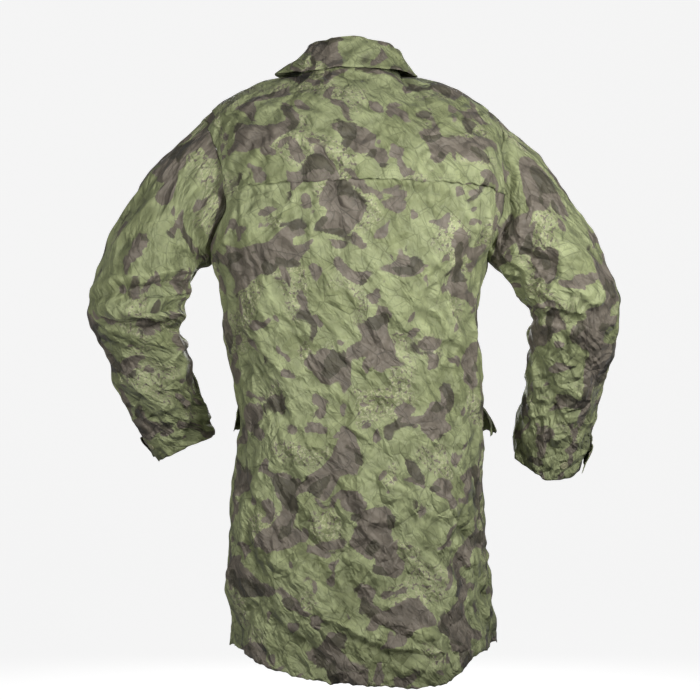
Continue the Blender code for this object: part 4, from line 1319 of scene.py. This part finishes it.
def make_fronts():
    panel = make_torso(FRONT)
    made = {}
    for side in (LEFT, RIGHT):
        name = SIDE_NAMES[side]
        kept = panel.across <= LAP_EDGE if side == LEFT else panel.across >= -LAP_EDGE
        across = panel.across[kept]
        grid, form, flat = panel.grid[:, kept], panel.form[:, kept], panel.flat[:, kept]
        if side == LEFT:
            over = np.clip((across + LAP_START) / (LAP_START - LAP_EDGE), 0.0, 1.0)
            grid = raised(grid, (LAYER * over)[None, :])
        part = Panel(grid, form, flat, across, panel.lines)
        add_cloth("front_" + name, grid, flat)

        inner, outer = (side * a for a in POCKET_ACROSS)
        under = part_of(part, POCKET_TOP, POCKET_FOOT, inner, outer)
        pocket = raised(grid[under], LAYER)
        add_cloth("pocket_" + name, pocket, flat[under])

        inner, outer = (side * a for a in FLAP_ACROSS)
        under = part_of(part, FLAP_TOP, FLAP_FOOT, inner, outer)
        down = np.linspace(0.0, 1.0, grid[under].shape[0])[:, None]
        rearward = np.linspace(0.0, 1.0, grid[under].shape[1])[None, :]
        if side == RIGHT:
            rearward = rearward[:, ::-1]
        lift = LAYER + LAYER * np.minimum(down * 2, 1.0) + FLAP_LIFT[side] * down * rearward ** 2
        flap = raised(grid[under], lift)
        add_cloth("pocket_flap_" + name, flap, flat[under])
        made[side] = (part, pocket, flap)
    return made


def sleeve_crease_height(grid, side):
    """Creases seen from behind lie on a sleeve's back half, and those seen in front on its front."""
    facing = outward(grid, wraps=True)[..., 1]
    behind, ahead = smooth(0.5 - facing / 0.5), smooth(0.5 + facing / 0.5)
    return (crease_height(grid, SLEEVE_CREASES[side]) * behind
            + crease_height(grid, SLEEVE_FRONT_CREASES[side]) * ahead)


SLEEVE_FOLD_FADE, SLEEVE_HOLD = 2, 0.12     # from the armhole, in rows of the sleeve's table
INNER_SEAM_HOLD = 0.3           # radians round the sleeve
SLEEVE_STRAYS = 120


def make_sleeve(side):
    name = SIDE_NAMES[side]
    turns = np.linspace(-math.pi, math.pi, SLEEVE_COLUMNS, endpoint=False)
    fine = np.linspace(0.0, len(SLEEVES[side]), FINE)
    middle = sleeve_grid(side, fine, np.array([-math.pi / 2, math.pi / 2])).mean(axis=1)
    lines = evenly(middle, fine, SLEEVE_ROWS)
    base = sleeve_grid(side, lines, turns)
    if side == RIGHT:
        turns = turns[::-1]
    form = raised(base, fold_height(base, SLEEVE_FOLDS) * smooth(lines / SLEEVE_FOLD_FADE)[:, None],
                  wraps=True)
    flat = flat_of(form, wraps=True)
    hold = smooth(lines / SLEEVE_HOLD)[:, None]
    seam = smooth((math.pi - np.abs(turns)) / INNER_SEAM_HOLD)[None, :]
    from_hem = (flat[-1:, :, 1] - flat[..., 1])[:, :-1]
    hem = hem_height(from_hem, flat[:, :-1, 0], seed=60 + side) * seam
    creases = sleeve_crease_height(form, side) + hem
    grid = shaped(form, hold, creases, SLEEVE_LIES, SLEEVE_STRAYS, seed=300 + 40 * side, seam=seam,
                  wraps=True)
    print_at = levelled(flat)
    add_cloth("sleeve_" + name, grid, flat, wraps=True, print_at=print_at)

    # The cuff tab lies on the outer side of the hem, its free end standing a little off behind.
    degrees = np.degrees(turns)
    chosen = np.where((degrees >= TAB_FROM) & (degrees <= TAB_TO[side]))[0]
    rows = slice(line_index(lines, TAB_LINES[0]), line_index(lines, TAB_LINES[1]) + 1)
    rearward = (degrees[chosen] - TAB_FROM) / (TAB_TO[side] - TAB_FROM)
    tab = raised(grid[rows][:, chosen], LAYER + TAB_END_LIFT[side] * rearward[None, :] ** 4)
    add_cloth("cuff_tab_" + name, tab, flat[rows][:, chosen],
              print_at=print_at[rows][:, chosen])
    return grid, tab


# The collar's relief, by the share of the way from its seam to its edge. It grows from nothing at
# the seam, is STAND_SHARE of the whole on the stand, and passes to the whole on the fall. The
# creases listed in COLLAR_CREASES are on the fall alone.
COLLAR_SEAM_HOLD, STAND_SHARE, COLLAR_STRAYS = 0.12, 0.45, 60
FALL_FROM, FALL_WITHIN = 0.3, 0.4
CREASES_FROM, CREASES_WITHIN = 0.45, 0.1


def make_collar():
    base = collar_grid(COLLAR_ROWS, COLLAR_COLUMNS)
    share = np.linspace(0.0, 1.0, COLLAR_ROWS)[:, None]
    fall = smooth((share - FALL_FROM) / FALL_WITHIN)
    hold = smooth(share / COLLAR_SEAM_HOLD) * (STAND_SHARE + (1.0 - STAND_SHARE) * fall)
    creases = crease_height(base, COLLAR_CREASES) * smooth((share - CREASES_FROM) / CREASES_WITHIN)
    grid = shaped(base, hold, creases, COLLAR_LIES, COLLAR_STRAYS, seed=500)
    add_cloth("collar", grid, flat_of(base))


# ---------------------------------------------------------------- press studs
STUD_PROFILE = [(0.0, 0.0), (6.2, 0.0), (6.9, 0.3), (7.0, 0.9), (6.6, 1.5), (5.9, 1.75), (5.2, 1.55),
                (4.7, 1.2), (3.9, 1.2), (3.4, 1.5), (2.6, 1.9), (1.6, 2.1), (0.0, 2.2)]
STUD_SIDES = 36


def add_stud(name, grid):
    """A press stud's cap, turned from its profile, square to the cloth it is set in."""
    normals = outward(grid)
    nearest = np.unravel_index(np.argmin(np.linalg.norm(grid - STUD_PLACES[name], axis=-1)), grid.shape[:2])
    axis = Vector(normals[nearest])
    turn = axis.to_track_quat("Z", "Y").to_matrix()
    foot = Vector(grid[nearest]) + axis * SEAM_GAP
    points, faces = [], []
    rim = STUD_PROFILE[1:-1]
    for radius, height in rim:
        for step in range(STUD_SIDES):
            angle = 2 * math.pi * step / STUD_SIDES
            points.append((radius * math.cos(angle) * MM, radius * math.sin(angle) * MM, height * MM))
    for ring in range(len(rim) - 1):
        for step in range(STUD_SIDES):
            here, after = ring * STUD_SIDES + step, ring * STUD_SIDES + (step + 1) % STUD_SIDES
            faces.append((here, after, after + STUD_SIDES, here + STUD_SIDES))
    foot_middle, top_middle = len(points), len(points) + 1
    points += [(0.0, 0.0, 0.0), (0.0, 0.0, STUD_PROFILE[-1][1] * MM)]
    last = (len(rim) - 1) * STUD_SIDES
    for step in range(STUD_SIDES):
        after = (step + 1) % STUD_SIDES
        faces += [(foot_middle, after, step), (top_middle, last + step, last + after)]
    mesh = bpy.data.meshes.new(name + "_cap")
    mesh.from_pydata([tuple(foot + turn @ Vector(point)) for point in points], [], faces)
    mesh.shade_smooth()
    mesh.materials.append(STUD)
    stud = added(name + "_cap", mesh)
    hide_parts(name)
    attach(stud, "root")


# ---------------------------------------------------------------- stitches
STITCH_PITCH, STITCH_LENGTH, STITCH_THICKNESS = 3.4 * MM, 2.7 * MM, 0.55 * MM


def stitch_tree():
    """Stitches along every line of a mesh, from named sizes."""
    tree = bpy.data.node_groups.new("stitches", "GeometryNodeTree")
    for name, kind in (("Lines", "Geometry"), ("Pitch", "Float"), ("Length", "Float"),
                       ("Thickness", "Float"), ("Thread", "Material")):
        tree.interface.new_socket(name, in_out="INPUT", socket_type="NodeSocket" + kind)
    tree.interface.new_socket("Stitches", in_out="OUTPUT", socket_type="NodeSocketGeometry")
    given = tree.nodes.new("NodeGroupInput").outputs
    size = node(tree, "ShaderNodeCombineXYZ", {"X": given["Thickness"], "Y": given["Thickness"],
                                               "Z": given["Length"]})
    bead = node(tree, "GeometryNodeMeshUVSphere", {"Segments": 6, "Rings": 3, "Radius": 0.5})
    stitch = node(tree, "GeometryNodeTransform", {"Geometry": bead.outputs["Mesh"],
                                                  "Scale": size.outputs["Vector"]})
    curve = node(tree, "GeometryNodeMeshToCurve", {"Mesh": given["Lines"]})
    spaced = node(tree, "GeometryNodeResampleCurve", {"Curve": curve.outputs["Curve"],
                                                      "Length": given["Pitch"]}, mode="LENGTH")
    tangent = node(tree, "GeometryNodeInputTangent")
    turned = node(tree, "FunctionNodeAlignRotationToVector", {"Vector": tangent.outputs["Tangent"]},
                  axis="Z")
    placed = node(tree, "GeometryNodeInstanceOnPoints", {"Points": spaced.outputs["Curve"],
                                                         "Instance": stitch.outputs["Geometry"],
                                                         "Rotation": turned.outputs["Rotation"]})
    real = node(tree, "GeometryNodeRealizeInstances", {"Geometry": placed.outputs["Instances"]})
    sewn = node(tree, "GeometryNodeSetMaterial", {"Geometry": real.outputs["Geometry"],
                                                  "Material": given["Thread"]})
    node(tree, "NodeGroupOutput", {"Stitches": sewn.outputs["Geometry"]})
    return tree


THREAD_PROUD = 0.15 * MM


def line_on(grid, rows, columns, wraps=False):
    """Points just proud of a piece, along fractional rows and columns of its grid."""
    proud = raised(grid, THREAD_PROUD, wraps)
    rows, columns = np.broadcast_arrays(np.asarray(rows, float), np.asarray(columns, float))
    if wraps:
        proud = np.concatenate([proud, proud[:, :1]], axis=1)
    row = np.clip(rows.astype(int), 0, proud.shape[0] - 2)
    column = np.clip(columns.astype(int), 0, proud.shape[1] - 2)
    down, right = (rows - row)[:, None], (columns - column)[:, None]
    top = proud[row, column] * (1 - right) + proud[row, column + 1] * right
    foot = proud[row + 1, column] * (1 - right) + proud[row + 1, column + 1] * right
    return top * (1 - down) + foot * down


def along_hem(grid, inset):
    """A line along a piece's foot, inset by so many rows."""
    return line_on(grid, grid.shape[0] - 1 - inset, np.arange(grid.shape[1] - 1.0))


def inside(grid, *edges):
    """Lines a row or a column inside the edges named of a piece that is sewn on."""
    foot, end = grid.shape[0] - 1.0, grid.shape[1] - 1.0
    down, across = np.arange(1.0, foot), np.arange(1.0, end)
    places = {"left": (down, 1.0), "right": (down, end - 1.0), "top": (1.0, across),
              "foot": (foot - 1.0, across)}
    return [line_on(grid, *places[edge]) for edge in edges]


# Where stitches run, in rows or columns of a piece's grid from its edge.
YOKE_INSETS, LAP_INSETS = (1.0, 2.8), (1.2, 9.0)
HEM_INSET, CUFF_INSET, ARMHOLE_INSET = 5.6, 5.4, 1.6
LAP_ENDS = 3                    # rows at the lap's top and foot that have no stitches


def stitched_lines(back, yoke, fronts, sleeves):
    lines = [along_hem(yoke, inset) for inset in YOKE_INSETS] + [along_hem(back, HEM_INSET)]
    for side in (LEFT, RIGHT):
        part, pocket, flap = fronts[side]
        front = part.grid
        lines.append(along_hem(front, HEM_INSET))
        if side == LEFT:
            down = np.arange(LAP_ENDS, front.shape[0] - LAP_ENDS, dtype=float)
            lines += [line_on(front, down, inset) for inset in LAP_INSETS]
        lines += inside(pocket, "left", "right", "foot") + inside(flap, "left", "right", "foot")
        sleeve, tab = sleeves[side]
        around = np.arange(sleeve.shape[1], dtype=float)
        for row in (sleeve.shape[0] - 1 - CUFF_INSET, ARMHOLE_INSET):
            lines.append(line_on(sleeve, row, around, wraps=True))
        lines += inside(tab, "top", "foot")
    return lines


def add_stitches(lines):
    points, edges = [], []
    for line in lines:
        first = len(points)
        points += line.tolist()
        edges += [(first + step, first + step + 1) for step in range(len(line) - 1)]
    mesh = bpy.data.meshes.new("stitch lines")
    mesh.from_pydata(points, edges, [])
    guide = added("stitch lines", mesh)
    sewing = guide.modifiers.new("stitches", "NODES")
    sewing.node_group = stitch_tree()
    sizes = {"Pitch": STITCH_PITCH, "Length": STITCH_LENGTH, "Thickness": STITCH_THICKNESS, "Thread": THREAD}
    for item in sewing.node_group.interface.items_tree:
        if item.name in sizes:
            sewing[item.identifier] = sizes[item.name]
    evaluated = guide.evaluated_get(bpy.context.evaluated_depsgraph_get())
    sewn = bpy.data.meshes.new_from_object(evaluated)
    sewn.name = "stitches"
    bpy.data.objects.remove(guide, do_unlink=True)
    sewn.shade_smooth()
    piece = added("stitches", sewn)
    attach(piece, "root")


# ---------------------------------------------------------------- stage, light and camera
CAMERA_DISTANCE, CAMERA_LEVEL, FRAME_WIDTH, SENSOR = 3.2, -0.457, 1.176, 36.0
FLOOR_LEVEL = -1.45
STAGE_RADIUS, STAGE_BEND, STAGE_HEIGHT = 5.5, 2.0, 7.0
STAGE_STEPS, STAGE_SIDES = 12, 96
STAGE_RIM = 0.1                 # a ring that keeps the level floor's shading apart from the bend's


def make_stage():
    """A pale floor that turns up into a wall far behind, all round."""
    profile = [(STAGE_RADIUS - STAGE_RIM, FLOOR_LEVEL), (STAGE_RADIUS, FLOOR_LEVEL)]
    for step in range(1, STAGE_STEPS + 1):
        angle = math.pi / 2 * step / STAGE_STEPS
        profile.append((STAGE_RADIUS + STAGE_BEND * math.sin(angle),
                        FLOOR_LEVEL + STAGE_BEND * (1 - math.cos(angle))))
    profile.append((STAGE_RADIUS + STAGE_BEND, FLOOR_LEVEL + STAGE_HEIGHT))
    angles = [2 * math.pi * side / STAGE_SIDES for side in range(STAGE_SIDES)]
    points = [(r * math.cos(angle), r * math.sin(angle), z) for r, z in profile for angle in angles]
    faces = [tuple(range(STAGE_SIDES))]
    for ring in range(len(profile) - 1):
        for side in range(STAGE_SIDES):
            here, after = ring * STAGE_SIDES + side, ring * STAGE_SIDES + (side + 1) % STAGE_SIDES
            faces.append((here, here + STAGE_SIDES, after + STAGE_SIDES, after))
    mesh = bpy.data.meshes.new("studio floor")
    mesh.from_pydata(points, [], faces)
    mesh.shade_smooth()
    material, _, shader = new_material("pale studio floor")
    shader.inputs["Base Color"].default_value = (0.40, 0.40, 0.40, 1.0)
    shader.inputs["Roughness"].default_value = 0.9
    shader.inputs["Emission Color"].default_value = (1.0, 1.0, 1.0, 1.0)
    shader.inputs["Emission Strength"].default_value = 0.84
    mesh.materials.append(material)
    floor = added("studio floor", mesh)
    floor.visible_diffuse = floor.visible_glossy = False    # bright itself, and no lamp for the coat


Lamp = namedtuple("Lamp", "name place size power")
LAMPS = [
    Lamp("key", (0.80, -1.25, -0.04), 0.35, 7.9),
    Lamp("fill", (-0.95, -1.35, -0.36), 0.8, 4.5),
    Lamp("top", (0.3, 0.4, 2.6), 1.8, 1.5),
    Lamp("front", (0.0, 3.2, 0.3), 2.0, 42.0),
]
LAMP_SPREAD = 110               # degrees
LIT_POINT = Vector((0.02, 0.0, -0.39))


def make_lights():
    for lamp in LAMPS:
        light = bpy.data.lights.new(lamp.name, "AREA")
        light.energy, light.size, light.spread = lamp.power, lamp.size, math.radians(LAMP_SPREAD)
        thing = added(lamp.name, light)
        thing.location = lamp.place
        thing.rotation_euler = (LIT_POINT - Vector(lamp.place)).to_track_quat("-Z", "Y").to_euler()
        thing.visible_camera = False
    world = bpy.data.worlds.new("soft studio")
    world.use_nodes = True
    world.node_tree.nodes["Background"].inputs["Color"].default_value = (1.0, 1.0, 1.0, 1.0)
    world.node_tree.nodes["Background"].inputs["Strength"].default_value = 0.15
    bpy.context.scene.world = world
    bpy.context.scene.view_settings.view_transform = "Standard"


def make_camera():
    data = bpy.data.cameras.new("photo view")
    data.sensor_width = SENSOR
    data.lens = SENSOR * CAMERA_DISTANCE / FRAME_WIDTH
    camera = added("photo view", data)
    camera.location = (0.0, -CAMERA_DISTANCE, CAMERA_LEVEL)
    camera.rotation_euler = (math.pi / 2, 0.0, 0.0)
    bpy.context.scene.camera = camera


def main():
    make_camera()
    make_stage()
    make_lights()
    back, yoke = make_back()
    fronts = make_fronts()
    sleeves = {side: make_sleeve(side) for side in (LEFT, RIGHT)}
    make_collar()

    for name in STUDS:
        if name.startswith("front"):
            add_stud(name, fronts[LEFT][0].grid)
        else:
            add_stud(name, sleeves[LEFT if name.endswith("left") else RIGHT][0])
    add_stitches(stitched_lines(back.grid, yoke, fronts, sleeves))


main()
